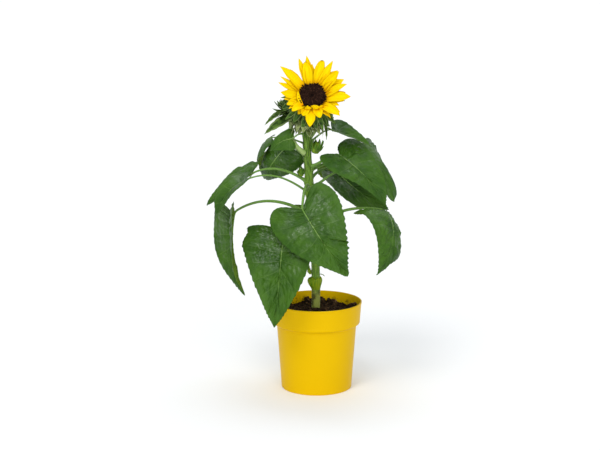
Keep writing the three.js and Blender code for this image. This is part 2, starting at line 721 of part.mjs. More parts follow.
function makeBuds() {
  const buds = new THREE.Group();
  for (const [name, bud] of Object.entries(BUDS)) {
    buds.add(part(`side_bud_${name}`, budGeometry(bud), COLOURS.bract));
    buds.add(part(`bud_stalk_${name}`, budStalkGeometry(bud), COLOURS.stem));
  }
  for (const [name, bud] of Object.entries(AXIL_BUDS)) {
    buds.add(part(`axil_bud_${name}`, axilBudGeometry(bud), COLOURS.bract));
  }
  return buds;
}

// The withered seed leaves: a collar that bulges to one side of the stem, and two short stubs
function makeSeedLeaves() {
  const group = new THREE.Group();
  const { height, halfHeight, bulge, thickness, compass, sides } = SEED_COLLAR;
  const inner = stemRadius(height - halfHeight) + 1.8 * CLEARANCE;
  const outer = inner + thickness;
  const collar = turned(
    [
      [inner, -halfHeight],
      [outer, -halfHeight],
      [outer + COLLAR_WALL.waist, -COLLAR_WALL.share * halfHeight],
      [outer + COLLAR_WALL.shoulder, COLLAR_WALL.share * halfHeight],
      [outer, halfHeight],
      [inner, halfHeight],
      [inner, -halfHeight],
    ],
    sides,
  );
  const axis = stemAxis(height);
  const swollen = shaped(collar, (x, y, z) => {
    const radius = Math.hypot(x, y);
    const towards = (1 + Math.cos(Math.atan2(y, x) - radians(compass))) / 2;
    const onShoulder = radius > outer + (COLLAR_WALL.waist + COLLAR_WALL.shoulder) / 2;
    const swell = onShoulder ? bulge * towards * towards : 0;
    const share = (radius + swell) / radius;
    return new THREE.Vector3(x * share + axis.x, y * share + axis.y, z + axis.z);
  });
  group.add(part("seed_leaf_collar", swollen, COLOURS.stem));
  for (const [name, stub] of Object.entries(SEED_STUBS)) {
    const outward = heading([stub.compass, 0]);
    const joint = stemAxis(stub.height).addScaledVector(outward, stemRadius(stub.height) + stub.away);
    const leaf = { ...stub, joint: joint.toArray(), plain: true };
    group.add(part(`seed_leaf_${name}`, bladeGeometry(leaf, RAY_GRID), COLOURS.bract));
  }
  return group;
}

const sunflower = new THREE.Group();
sunflower.add(makePot(), makeSoil(), makeStem(), makeSeedLeaves(), makeLeaves(), makeBloom(), makeBuds());

export default sunflower;
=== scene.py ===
# %% [markdown]
# A potted sunflower, dressed piece by piece.
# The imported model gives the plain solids: pot, soil, stem, stalks, leaves, bloom and buds.
# Each of them gets a finer surface here, worked out from the same formulas and sizes, so that the
# plant keeps its outline and gains veins, teeth, hairs, florets and crumbs of soil.
# Lengths are written in millimetres, as on a drawing, and turned into metres on the way into Blender.

# %% Load the frame
import json

import bpy
import numpy as np
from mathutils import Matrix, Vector

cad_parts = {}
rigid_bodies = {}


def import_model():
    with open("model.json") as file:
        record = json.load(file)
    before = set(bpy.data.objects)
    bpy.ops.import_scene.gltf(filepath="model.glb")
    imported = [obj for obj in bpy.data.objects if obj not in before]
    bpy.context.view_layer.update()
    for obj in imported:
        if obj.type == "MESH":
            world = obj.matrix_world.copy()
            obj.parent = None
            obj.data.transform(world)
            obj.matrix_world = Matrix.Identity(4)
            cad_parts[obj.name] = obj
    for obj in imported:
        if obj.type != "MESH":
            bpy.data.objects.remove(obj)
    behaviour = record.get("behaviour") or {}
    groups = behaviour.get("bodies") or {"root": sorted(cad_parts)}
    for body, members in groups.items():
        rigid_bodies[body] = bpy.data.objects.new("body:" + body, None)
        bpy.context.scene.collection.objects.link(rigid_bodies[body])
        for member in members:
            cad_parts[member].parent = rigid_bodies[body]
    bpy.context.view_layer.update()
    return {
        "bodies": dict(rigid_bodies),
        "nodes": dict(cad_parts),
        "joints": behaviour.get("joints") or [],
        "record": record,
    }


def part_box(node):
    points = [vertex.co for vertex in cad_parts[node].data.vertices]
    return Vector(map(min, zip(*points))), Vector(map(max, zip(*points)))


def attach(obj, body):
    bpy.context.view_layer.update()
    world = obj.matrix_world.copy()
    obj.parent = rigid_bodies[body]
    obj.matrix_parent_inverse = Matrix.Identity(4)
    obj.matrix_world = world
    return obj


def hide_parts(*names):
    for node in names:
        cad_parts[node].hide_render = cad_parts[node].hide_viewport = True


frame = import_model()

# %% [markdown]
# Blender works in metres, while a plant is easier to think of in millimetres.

MM = 0.001

# %% [markdown]
# The camera stands a little over two metres in front of the plant and looks slightly down on it, as
# the photographer did. A long lens keeps near and far leaves in proportion. The place was found from
# the ellipse of the pot's rim: the rounder the ellipse looks, the higher the camera stands.

# %% Set up the camera
CAMERA_DISTANCE = 2200
CAMERA_ELEVATION = 11
CAMERA_TARGET = np.array([-24.0, 0, 238.0])
FOCAL_PIXELS = 1541
PHOTO_WIDTH = 600
SENSOR_WIDTH = 36

tilt = np.radians(CAMERA_ELEVATION)
backwards = np.array([0, -np.cos(tilt), np.sin(tilt)])
camera_data = bpy.data.cameras.new("camera")
camera_data.sensor_width = SENSOR_WIDTH
camera_data.lens = SENSOR_WIDTH * FOCAL_PIXELS / PHOTO_WIDTH
camera_data.clip_end = 100
camera = bpy.data.objects.new("camera", camera_data)
camera.location = (CAMERA_TARGET + CAMERA_DISTANCE * backwards) * MM
camera.rotation_euler = Vector(-backwards).to_track_quat("-Z", "Y").to_euler()
bpy.context.collection.objects.link(camera)
bpy.context.scene.camera = camera
print("camera lens in mm:", round(camera_data.lens, 2))

# %% [markdown]
# Plants are full of directions and of soft changes, so the words for those come first: a way given
# by a compass angle and an angle up, a step that starts and ends gently, a rounded hill, and an
# unevenness that looks random and is the same on every run.

# %% Directions, smooth steps and hills
UP = np.array([0.0, 0, 1])
RIPPLE_WAVES = 5


def stacked(*parts):
    """Numbers or arrays side by side, as the coordinates of points."""
    return np.stack(np.broadcast_arrays(*parts), axis=-1)


def heading(compass, up):
    """The way to a compass angle (from +X towards +Y) and an angle up, both in degrees."""
    compass, up = np.radians(compass), np.radians(up)
    return stacked(np.cos(compass) * np.cos(up), np.sin(compass) * np.cos(up), np.sin(up))


def unit(vectors):
    return vectors / np.linalg.norm(vectors, axis=-1, keepdims=True)


def between(start, end, share):
    return start + (end - start) * share


def held(share):
    """The share, but never below 0 or above 1."""
    return np.clip(share, 0, 1)


def eased(share):
    """Rises from 0 to 1 with no kink at either end: 3 s squared less 2 s cubed."""
    return held(share) ** 2 * (3 - 2 * held(share))


def hill(away, spread):
    """1 in the middle and falling on both sides: e to the power of minus (away / spread) squared."""
    return np.exp(-((away / spread) ** 2))


def turn_from(angle, middle):
    """How far an angle lies from another one: within half a turn either way, in radians."""
    return (angle - middle + np.pi) % (2 * np.pi) - np.pi


def ripple(points, wavelength, seed):
    """Uneven height of about -1 to 1: sine waves that run in seeded directions, added up."""
    dice = np.random.default_rng(seed)
    ways = unit(dice.normal(size=(RIPPLE_WAVES, 3)))
    stretch = dice.uniform(0.7, 1.5, RIPPLE_WAVES)
    start = dice.uniform(0, 2 * np.pi, RIPPLE_WAVES)
    waves = np.sin(points @ ways.T * (2 * np.pi / wavelength * stretch) + start)
    return waves.sum(axis=-1) / (RIPPLE_WAVES / 2)


# %% [markdown]
# Every surface below starts as a grid of points: rows one way, columns the other. A shape is always
# the same three things: points in mm, faces with four corners, and UV maps by name. A thin blade is
# two grids, an upper and a lower one, that meet at their edges.

# %% Shapes made of grids
def grid_faces(rows, columns):
    """The four-cornered faces between neighbouring rows and columns of a grid."""
    index = np.arange(rows * columns).reshape(rows, columns)
    corners = [index[:-1, :-1], index[:-1, 1:], index[1:, 1:], index[1:, :-1]]
    return np.stack(corners, axis=-1).reshape(-1, 4)


def grid_shape(grid, **maps):
    return grid.reshape(-1, 3), grid_faces(*grid.shape[:2]), maps


def flat_map(first, second):
    """A UV map: two numbers for each point of a grid."""
    return stacked(first, second).reshape(-1, 2)


def closed_sheet(upper, lower, **maps):
    """An upper and a lower grid whose edges fall together, as one shape. Both take the same maps."""
    points, faces, _ = grid_shape(upper)
    faces = np.concatenate([faces, faces[:, ::-1] + len(points)])
    points = np.concatenate([points, lower.reshape(-1, 3)])
    return points, faces, {name: np.tile(places, (2, 1)) for name, places in maps.items()}


def gathered(shapes):
    """Several shapes in one: each shape's faces count on from the last one's points."""
    points, faces, maps = zip(*shapes)
    starts = np.cumsum([0, *(len(p) for p in points[:-1])])
    faces = np.concatenate([f + start for f, start in zip(faces, starts)])
    joined = {name: np.concatenate([m[name] for m in maps]) for name in maps[0]}
    return np.concatenate(points), faces, joined


# %% [markdown]
# Florets, crumbs and hairs are one small shape set down many times. Working on all the copies as
# one array is quick, and the copies end up in a single mesh.

# %% Many copies of one small shape
def copies(points, faces, places, frames):
    """A small shape set down many times: place + point turned and sized by each 3 by 3 frame."""
    moved = places[:, None, :] + np.einsum("pk,nkc->npc", points, frames)
    numbered = faces[None] + len(points) * np.arange(len(places))[:, None, None]
    return moved.reshape(-1, 3), numbered.reshape(-1, faces.shape[1]), {}


def frames_along(ways, spin=None):
    """A 3 by 3 frame for each way: its third row is the way itself, the first two lie across it."""
    ways = unit(ways)
    helper = np.where(np.abs(ways[:, 2:]) < 0.9, [[0.0, 0, 1]], [[1.0, 0, 0]])
    first = unit(np.cross(helper, ways))
    second = np.cross(ways, first)
    if spin is not None:
        cosine, sine = np.cos(spin)[:, None], np.sin(spin)[:, None]
        first, second = first * cosine + second * sine, second * cosine - first * sine
    return np.stack([first, second, ways], axis=1)


# %% [markdown]
# A shape becomes a Blender mesh with foreach_set, which hands over whole arrays at once. Points that
# fall on the same spot are welded first. That closes the seam of a tube, the tip of a leaf and the
# pole of a ball without any special cases. Each piece then moves with the plant, which is one rigid
# body, and may stand for plain solids.

# %% Welded meshes and dressed pieces
WELD = 1e-4


def signed_volume(points, faces):
    """The volume inside closed faces, below 0 where they face inwards: a sum of triple products."""
    first, second, third, fourth = (points[faces[:, corner]] for corner in range(4))
    return ((np.cross(first, second) * third).sum() + (np.cross(first, third) * fourth).sum()) / 6


def add_mesh(name, shape, materials, slots=None):
    """Makes a mesh object from a shape. Two of a face's four corners may coincide.

    Points within WELD of each other become one. Faces turn outwards. slots holds the number of
    each face's material.
    """
    points, faces, maps = shape
    if signed_volume(points, faces) < 0:
        faces = faces[:, ::-1]
    spots = np.round(points / WELD)
    _, first, owner = np.unique(spots, axis=0, return_index=True, return_inverse=True)
    corners = owner.reshape(-1)[faces]
    kept = corners != np.roll(corners, 1, axis=1)
    whole = kept.sum(axis=1) > 2
    kept &= whole[:, None]
    sizes = kept.sum(axis=1)[whole]
    mesh = bpy.data.meshes.new(name)
    mesh.vertices.add(len(first))
    mesh.vertices.foreach_set("co", (points[first] * MM).ravel())
    mesh.loops.add(int(sizes.sum()))
    mesh.loops.foreach_set("vertex_index", corners[kept])
    mesh.polygons.add(len(sizes))
    mesh.polygons.foreach_set("loop_start", np.cumsum(sizes) - sizes)
    mesh.polygons.foreach_set("use_smooth", np.ones(len(sizes), bool))
    if slots is not None:
        mesh.polygons.foreach_set("material_index", np.asarray(slots)[whole])
    mesh.update(calc_edges=True)
    for map_name, places in maps.items():
        layer = mesh.uv_layers.new(name=map_name)
        layer.uv.foreach_set("vector", places[faces][kept].ravel())
    for material in materials:
        mesh.materials.append(material)
    mesh.validate()
    piece = bpy.data.objects.new(name, mesh)
    bpy.context.collection.objects.link(piece)
    print(f"{name}: {int((sizes - 2).sum())} triangles")
    return piece


def dress(piece, slot, *nodes):
    """Lets a piece move with the plant and stand for plain solids. The slot is not used."""
    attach(piece, "root")
    if nodes:
        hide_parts(*nodes)


# %% [markdown]
# Finishes are built from nodes. Numbers that are the same all over a surface sit on the shader's
# own sockets. What changes from place to place reads the piece's object coordinates, or a UV map
# that follows the leaf, so the pattern stays where it is when the plant is moved.

# %% Finishes built from nodes
class Finish:
    """A principled material, with a short word for each kind of node that feeds it."""

    def __init__(self, name, **numbers):
        """Sets the shader's numbers. An underscore stands for a space in a socket's name."""
        self.material = bpy.data.materials.new(name)
        self.material.use_nodes = True
        self.tree = self.material.node_tree
        self.shader = self.tree.nodes["Principled BSDF"]
        for socket, value in numbers.items():
            self.shader.inputs[socket.replace("_", " ")].default_value = value
        self.place = self.node("TexCoord").outputs["Object"]

    def node(self, kind, inputs=(), **settings):
        """Adds a node, sets its properties, and fills or links its inputs by order or by name."""
        node = self.tree.nodes.new("ShaderNode" + kind)
        for name, value in settings.items():
            setattr(node, name, value)
        for socket, value in (inputs.items() if isinstance(inputs, dict) else enumerate(inputs)):
            if isinstance(value, bpy.types.NodeSocket):
                self.tree.links.new(value, node.inputs[socket])
            else:
                node.inputs[socket].default_value = value
        return node

    def maths(self, operation, *values):
        return self.node("Math", values, operation=operation).outputs[0]

    def times(self, first, second):
        return self.maths("MULTIPLY", first, second)

    def times_plus(self, first, second, more):
        return self.maths("MULTIPLY_ADD", first, second, more)

    def map_parts(self, map_name):
        """The two numbers of a UV map, apart."""
        both = self.node("UVMap", uv_map=map_name).outputs[0]
        parts = self.node("SeparateXYZ", [both]).outputs
        return parts[0], parts[1]

    def from_middle(self, side):
        """0 where side is a half, rising to 1 where it is 0 or 1."""
        return self.maths("ABSOLUTE", self.times_plus(side, 2, -1))

    def noise(self, scale, detail=3, roughness=0.5, place=None):
        """Cloudy values round a half, at the object's own coordinates unless a place is given."""
        inputs = {"Vector": place or self.place, "Scale": scale, "Detail": detail, "Roughness": roughness}
        return self.node("TexNoise", inputs).outputs[0]

    def rescaled(self, value, low, high, new_low=0, new_high=1):
        """Carries the range low to high over to another range, held at its ends and eased between."""
        inputs = [value, low, high, new_low, new_high]
        return self.node("MapRange", inputs, interpolation_type="SMOOTHSTEP").outputs[0]

    def mixed(self, share, *colours):
        """One colour turning into another as share goes from 0 to 1."""
        first, second = (c if isinstance(c, bpy.types.NodeSocket) else (*c, 1) for c in colours)
        return self.node("Mix", {0: share, 6: first, 7: second}, data_type="RGBA").outputs[2]

    def bumped(self, height, depth, **below):
        """The surface's normal pushed about by a height, depth being how many mm a height of 1 is."""
        return self.node("Bump", {"Height": height, "Distance": depth * MM, **below}).outputs[0]

    def done(self, **sockets):
        """Links worked-out values to the shader's sockets, and gives the material."""
        for socket, value in sockets.items():
            self.tree.links.new(value, self.shader.inputs[socket.replace("_", " ")])
        print(f"finish {self.material.name}: {len(self.tree.nodes)} nodes")
        return self.material


# %% [markdown]
# The pot is a thin injection-moulded shell: a tapered wall, a tall collar that steps out above it
# and a fine lip. A shape that is the same all round is easiest as a profile turned about the
# upright axis. Every corner of the profile is replaced by a short arc, because moulded plastic has
# no knife edges, and light catches on those arcs.

# %% Pot profile with rounded corners
pot_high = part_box("pot")[1]
POT_HEIGHT = pot_high[2] / MM
RIM_RADIUS = pot_high[0] / MM
POT_WALL = 1.5
BAND_BOTTOM = POT_HEIGHT - 31
BAND_LOWER_RADIUS = 62.3
WALL_TOP = BAND_BOTTOM - 3.5
WALL_TOP_RADIUS = 57.3
BASE_RADIUS = 50.6
FOOT_HEIGHT = 3
FLOOR_TOP = 4.6
PAD_RADIUS = 14
POT_SIDES = 180
CORNER_STEPS = 4
# Each corner: radius, height and how far from it the rounding starts
POT_CORNERS = [
    (0, 0, 0),
    (PAD_RADIUS, 0, 0.3),
    (PAD_RADIUS + 1, FOOT_HEIGHT, 0.4),
    (BASE_RADIUS - 5, FOOT_HEIGHT, 0.4),
    (BASE_RADIUS - 4, 0, 0.4),
    (BASE_RADIUS, 0, 0.9),
    (WALL_TOP_RADIUS, WALL_TOP, 1.0),
    (WALL_TOP_RADIUS + 1.5, WALL_TOP + 1.5, 0.8),
    (BAND_LOWER_RADIUS, BAND_BOTTOM, 0.9),
    (RIM_RADIUS - 0.6, POT_HEIGHT - 2.9, 0.3),
    (RIM_RADIUS, POT_HEIGHT - 2.3, 0.3),
    (RIM_RADIUS, POT_HEIGHT, 0.6),
    (RIM_RADIUS - POT_WALL - 0.4, POT_HEIGHT, 0.5),
    (RIM_RADIUS - POT_WALL - 0.8, POT_HEIGHT - 3, 0.4),
    (BAND_LOWER_RADIUS - POT_WALL, BAND_BOTTOM + 1, 0.8),
    (WALL_TOP_RADIUS - POT_WALL, WALL_TOP + 1.5, 0.8),
    (BASE_RADIUS - POT_WALL, FLOOR_TOP, 0.8),
    (0, FLOOR_TOP, 0),
]


def rounded_profile(corners):
    """Bridges each corner with a curve that the corner pulls towards, from where its rounding starts."""
    places, cuts = np.array(corners, float)[:, :2], np.array(corners, float)[:, 2]
    share = np.linspace(0, 1, CORNER_STEPS + 1)[:, None]
    rounded = [places[:1]]
    for before, corner, after, cut in zip(places, places[1:], places[2:], cuts[1:]):
        start = corner + unit(before - corner) * cut
        end = corner + unit(after - corner) * cut
        rounded.append(start * (1 - share) ** 2 + 2 * corner * share * (1 - share) + end * share**2)
    return np.concatenate([*rounded, places[-1:]])


def turned(profile, sides):
    """Rings of points: each profile point (radius, height) carried round the upright axis."""
    turn = np.linspace(0, 2 * np.pi, sides + 1)[None, :]
    radius, height = profile[:, :1], profile[:, 1:]
    return stacked(radius * np.cos(turn), radius * np.sin(turn), height)


pot_profile = rounded_profile(POT_CORNERS)
print("pot profile points:", len(pot_profile))

# %% [markdown]
# Yellow plastic is coloured right through, so it stays plain. What makes it look real is small:
# a soft sheen, faint ripples from the mould, a few scuffs, an inside painted brighter and warmer
# for the light that the walls throw on each other, and smears of soil on that inside. The inside is
# told from the outside by the cone that runs up the middle of the wall.

# %% Yellow plastic
# The cone's radius at the table in metres, and how much it widens for each metre of height
WALL_CONE = {"radius": 0.0548, "widens": 0.07}
INSIDE_FROM = 0.1
# Heights in metres: up to where soil clings thickly, and where the last of it ends
STAINS = {"thick": 0.113, "end": 0.123}


def soil_stains(paint):
    """Two masks: 1 on the inside of the wall, and 1 where soil clings to that inside low down."""
    x, y, z = paint.node("SeparateXYZ", [paint.place]).outputs
    radius = paint.maths("SQRT", paint.times_plus(x, x, paint.times(y, y)))
    cone = paint.times_plus(z, WALL_CONE["widens"], WALL_CONE["radius"])
    above = paint.rescaled(z, INSIDE_FROM, INSIDE_FROM + 0.002)
    inside = paint.times(paint.maths("LESS_THAN", radius, cone), above)
    low = paint.rescaled(z, STAINS["thick"], STAINS["end"], 1, 0)
    smears = paint.rescaled(paint.noise(130, 6, 0.75), 0.5, 0.62)
    return inside, paint.times(inside, paint.times(low, smears))


def yellow_plastic():
    paint = Finish("yellow plastic", Specular_IOR_Level=0.05)
    cloud = paint.noise(14, 2)
    speckle = paint.noise(420, 4, 0.7)
    scuffs = paint.rescaled(paint.noise(95, 6, 0.75), 0.6, 0.72)
    colour = paint.mixed(cloud, (0.73, 0.450, 0.0), (0.69, 0.425, 0.0))
    worn = paint.mixed(paint.times(scuffs, 0.1), colour, (0.86, 0.62, 0.06))
    inside, stains = soil_stains(paint)
    # Painted light: the inside of the wall is painted brighter and warmer, for the light that the walls
    # throw on each other.
    painted_inside_light = paint.mixed(paint.times(inside, 0.8), worn, (0.95, 0.60, 0.0))
    stained = paint.mixed(paint.times(stains, 0.8), painted_inside_light, (0.09, 0.04, 0.012))
    shine = paint.times_plus(scuffs, 0.15, paint.rescaled(speckle, 0.3, 0.7, 0.33, 0.42))
    grain = paint.bumped(speckle, 0.012, Normal=paint.bumped(cloud, 0.35))
    return paint.done(Base_Color=stained, Roughness=shine, Normal=grain)


POT_FINISH = yellow_plastic()

# %% [markdown]
# Water leaves through four holes in the floor and two notches in the foot ring. Cutting them from
# the turned shell with a Boolean is the plain way: the cutters are themselves small turned shapes
# and boxes, and the cut mesh takes the shell's place, so no live modifier is left.

# %% Cut the drain holes and the foot notches
DRAIN_HOLES = {"count": 4, "radius": 4, "circle": 29, "sides": 32}
FOOT_NOTCH = {"length": 12, "width": 7, "height": 2.6, "compass": 17}
CUTTER_REACH = {"below": -1, "above": 8}
CRISP_EDGE = 35


def apply_cut(piece, cutter):
    """Takes the cutter's shape out of the piece for good, and removes the cutter."""
    cut = piece.modifiers.new("cut", "BOOLEAN")
    cut.operation = "DIFFERENCE"
    cut.solver = "EXACT"
    cut.object = cutter
    scene_state = bpy.context.evaluated_depsgraph_get()
    mesh = bpy.data.meshes.new_from_object(piece.evaluated_get(scene_state))
    piece.modifiers.clear()
    piece.data = mesh
    bpy.data.objects.remove(cutter)


def hole_cutters():
    """An upright cylinder for each hole, evenly spaced on a circle."""
    radius, low, high = DRAIN_HOLES["radius"], CUTTER_REACH["below"], CUTTER_REACH["above"]
    cylinder = turned(np.array([[0, low], [radius, low], [radius, high], [0, high]]), DRAIN_HOLES["sides"])
    turns = 360 * (np.arange(DRAIN_HOLES["count"]) + 0.5) / DRAIN_HOLES["count"]
    return [grid_shape(cylinder + DRAIN_HOLES["circle"] * heading(turn, 0)) for turn in turns]


def notch_cutters():
    """A box across the foot ring on each side of the pot."""
    corners = np.array([[x, y, z] for x in (-1, 1) for y in (-1, 1) for z in (-1, 1)], float)
    sides = np.array([[0, 1, 3, 2], [4, 6, 7, 5], [0, 4, 5, 1], [2, 3, 7, 6], [0, 2, 6, 4], [1, 5, 7, 3]])
    size = np.array([FOOT_NOTCH["length"], FOOT_NOTCH["width"], 2 * FOOT_NOTCH["height"]]) / 2
    shapes = []
    for side in (0, 180):
        out = heading(FOOT_NOTCH["compass"] + side, 0)
        axes = np.stack([out, np.cross(UP, out), UP])
        shapes.append(((corners * size) @ axes + (BASE_RADIUS - 2) * out, sides, {}))
    return shapes


pot_shell = add_mesh("pot_shell", grid_shape(turned(pot_profile, POT_SIDES)), [POT_FINISH])
for cutters in (hole_cutters(), notch_cutters()):
    apply_cut(pot_shell, add_mesh("cutter", gathered(cutters), [POT_FINISH]))
pot_shell.data.set_sharp_from_angle(angle=np.radians(CRISP_EDGE))
dress(pot_shell, "pot_plastic", "pot")
print("pot faces after the cuts:", len(pot_shell.data.polygons))

# %% [markdown]
# Potting soil is dark peat. Its bed is a turned body that fills the pot, with heaps that show over
# the lip, a mound round the stem and finer unevenness on top. Heaps are rounded hills added to the
# level, which is the simplest way to place them where the real ones lie.

# %% The soil's surface
SOIL_LEVEL = 112
SOIL_TOP = 117.6
SOIL_MOUND = {"flat": 9, "slope": 14}
STEM_FOOT_X = -1.2
# Each lump, or hollow where the height is below 0: across, towards the back, height and spread
SOIL_LUMPS = [
    (-13, 46, 7, 5),
    (7, 46, 7, 3),
    (21, 44, 5, 6),
    (54, 8, 8, 7),
    (-30, 42, -4, 9),
    (42, 34, -4, 8),
    (-34, -24, 3, 12),
    (20, -40, 3, 14),
]
# Each layer of unevenness: height, wavelength and seed
SOIL_RIPPLES = [(1.1, 9, 1), (0.7, 3.6, 2), (0.45, 1.9, 3)]
SOIL_EDGE = BAND_LOWER_RADIUS - 0.6
SOIL_GRID = {"rings": 70, "sides": 200}


def soil_height(x, y):
    """The level, plus a round heap for each lump, blended into the mound round the stem."""
    height = np.full_like(x, SOIL_LEVEL)
    for across, back, tall, spread in SOIL_LUMPS:
        height = height + tall * hill(np.hypot(x - across, y - back), np.sqrt(2) * spread)
    mound = 1 - eased((np.hypot(x - STEM_FOOT_X, y) - SOIL_MOUND["flat"]) / SOIL_MOUND["slope"])
    return between(height, SOIL_TOP, mound)


def soil_surface():
    """The bed as rings: up the inside of the pot, then inwards over the heaped top."""
    foot = FLOOR_TOP + 0.3
    side = np.array([[0, foot], [BASE_RADIUS - 2.5, foot], [WALL_TOP_RADIUS - 2.4, WALL_TOP + 1]])
    top_radius = SOIL_EDGE * np.linspace(1, 0, SOIL_GRID["rings"])
    rings = turned(np.concatenate([side, stacked(top_radius, 0)]), SOIL_GRID["sides"])
    top = rings[len(side):]
    x, y = top[..., 0], top[..., 1]
    inner = eased((SOIL_EDGE - np.hypot(x, y)) / 3)
    rough = sum(tall * ripple(stacked(x, y, 0), *wave) for tall, *wave in SOIL_RIPPLES)
    top[..., 2] = soil_height(x, y) + rough * inner - 0.8 * (1 - inner)
    return rings


soil_rings = soil_surface()
soil_tops = soil_rings[-SOIL_GRID["rings"]:, :, 2]
print("soil top from", round(soil_tops.min(), 1), "to", round(soil_tops.max(), 1), "mm")

# %% [markdown]
# Peat is nearly black, with paler fibres in it, and so rough that it hardly shines. Its finest grain
# is too small for the mesh, so bump alone carries it.

# %% Peat finish and the soil bed
def peat(name, dark, light):
    paint = Finish(name, Roughness=0.95, Specular_IOR_Level=0.2)
    lumps = paint.noise(160, 5, 0.65)
    grain = paint.noise(900, 4, 0.7)
    colour = paint.mixed(paint.rescaled(lumps, 0.42, 0.68), dark, light)
    relief = paint.bumped(grain, 0.25, Normal=paint.bumped(lumps, 0.8))
    return paint.done(Base_Color=colour, Normal=relief)


PEAT = peat("peat", (0.016, 0.007, 0.003), (0.10, 0.052, 0.022))
PALE_PEAT = peat("pale peat fibre", (0.12, 0.065, 0.03), (0.26, 0.16, 0.08))
dress(add_mesh("soil_bed", grid_shape(soil_rings), [PEAT]), "potting_soil", "soil")

# %% [markdown]
# Loose crumbs and clods lie on the bed, about 1,800 in all. They are copies of one lumpy stone,
# turned and sized at random with a fixed seed. Clods gather on the heaps, as they do when a pot is
# filled by hand, and every ninth piece is a pale fibre.

# %% Crumbs and clods on the soil
CRUMBS = 1700
CLODS = 120
PALE_EVERY = 9
CRUMB_SIDES = 7


def crumb_shape():
    """A lumpy stone: a seven-sided ball of three rings and two poles, pushed in and out."""
    up = np.linspace(-np.pi / 2, np.pi / 2, 5)
    points, faces, _ = grid_shape(turned(stacked(np.cos(up).clip(0), np.sin(up)), CRUMB_SIDES))
    return points * (1 + 0.22 * ripple(points, 1.7, 5))[:, None], faces


def crumb_places(seed):
    """Crumbs spread evenly over the bed, and clods gathered round its lumps; none is past the wall."""
    dice = np.random.default_rng(seed)
    radius = between(8, SOIL_EDGE - 2.5, np.sqrt(dice.uniform(0, 1, CRUMBS)))
    crumbs = heading(dice.uniform(0, 360, CRUMBS), 0)[:, :2] * radius[:, None]
    heap = np.array(SOIL_LUMPS)[dice.integers(0, len(SOIL_LUMPS), CLODS)]
    clods = heap[:, :2] + dice.normal(size=(CLODS, 2)) * heap[:, 3:] * 0.8
    flat = np.concatenate([crumbs, clods])
    size = 0.45 + 1.4 * dice.uniform(0, 1, CRUMBS) ** 3
    size = np.concatenate([size, dice.uniform(1.4, 3.4, CLODS)])
    away = np.hypot(*flat.T)
    flat = flat * np.clip(away, 9, SOIL_EDGE - 1 - size)[:, None] / away[:, None]
    height = soil_height(*flat.T) + 0.3 * size
    count = CRUMBS + CLODS
    frames = frames_along(dice.normal(size=(count, 3)), dice.uniform(0, 6, count))
    frames = frames * size[:, None, None] * dice.uniform(0.6, 1.3, (count, 3, 1))
    return np.column_stack([flat, height]), frames


crumb_points, crumb_faces = crumb_shape()
crumbs = copies(crumb_points, crumb_faces, *crumb_places(seed=11))
pale = np.repeat(np.arange(CRUMBS + CLODS) % PALE_EVERY == 0, len(crumb_faces)).astype(int)
dress(add_mesh("soil_crumbs", crumbs, [PEAT, PALE_PEAT], pale), "potting_soil")

# %% [markdown]
# A sunflower's stem, leaf stalks and bud stalks are all tubes that follow a curve, so one function
# makes them: a ring of points at every step of the path, with a radius that changes along it and
# round it.

# %% Paths and tubes
TUBE_MAP_LENGTH = 10


def bezier(points, count):
    """A cubic curve that starts at the first point, ends at the last, and is drawn by the others."""
    start, first, second, end = (np.asarray(point, float) for point in points)
    share = np.linspace(0, 1, count)[:, None]
    rest = 1 - share
    return start * rest**3 + 3 * first * share * rest**2 + 3 * second * share**2 * rest + end * share**3


def softened(path, times):
    """Each inner point moves to the mean of itself and its neighbours, a few times over."""
    path = path.copy()
    for _ in range(times):
        path[1:-1] = path[1:-1] / 2 + (path[:-2] + path[2:]) / 4
    return path


def run_of(path):
    """How far along the path each of its points lies."""
    return np.concatenate([[0], np.cumsum(np.linalg.norm(np.diff(path, axis=0), axis=1))])


def evenly(path, count):
    """The same path with its points at equal distances, and those distances."""
    run = run_of(path)
    wanted = np.linspace(0, run[-1], count)
    return stacked(*(np.interp(wanted, run, path[:, k]) for k in range(3))), wanted


def tube(path, radius, sides, level, section=None):
    """Rings round a path, closed at both ends by a ring of no size.

    point = path + radius x section x (cos a x across + sin a x outward), where across is the fixed
    level direction laid square to the path. section(a, share) says how far the outline departs from
    a circle. Gives the shape, and its surface as points and the ways they face, to root hairs in.
    """
    along = unit(np.gradient(path, axis=0))
    across = unit(level - (along @ level)[:, None] * along)
    outward = np.cross(across, along)
    angle = np.linspace(0, 2 * np.pi, sides + 1)[None, :]
    share = np.linspace(0, 1, len(path))[:, None]
    size = np.asarray(radius).reshape(-1, 1) * (1 if section is None else section(angle, share))
    ways = np.cos(angle)[..., None] * across[:, None] + np.sin(angle)[..., None] * outward[:, None]
    rings = path[:, None] + size[..., None] * ways
    ends = path[[0, -1], None] + 0 * rings[:2]
    closed = np.concatenate([ends[:1], rings, ends[1:]])
    run = run_of(path)
    length = np.concatenate([run[:1], run, run[-1:]])[:, None]
    shape = grid_shape(closed, tube=flat_map(angle / (2 * np.pi), length / TUBE_MAP_LENGTH))
    return shape, (rings.reshape(-1, 3), ways.reshape(-1, 3))


# %% [markdown]
# The table says where each leaf sits: its stalk leaves the stem at a height with a rise, and comes
# down on the blade with a fall; the blade starts at the joint, sets out along tip, faces face, and
# bends, folds and curls from there. The values are those of the solids. Some leaves also have
# swells, where the margin stands out or ahead (side, share of the length, spread, mm out and, where
# it has one, mm ahead), creases, where the blade folds over itself (side, share of the length, half
# the step in mm), and sags, where a lobe hangs down (side, degrees).

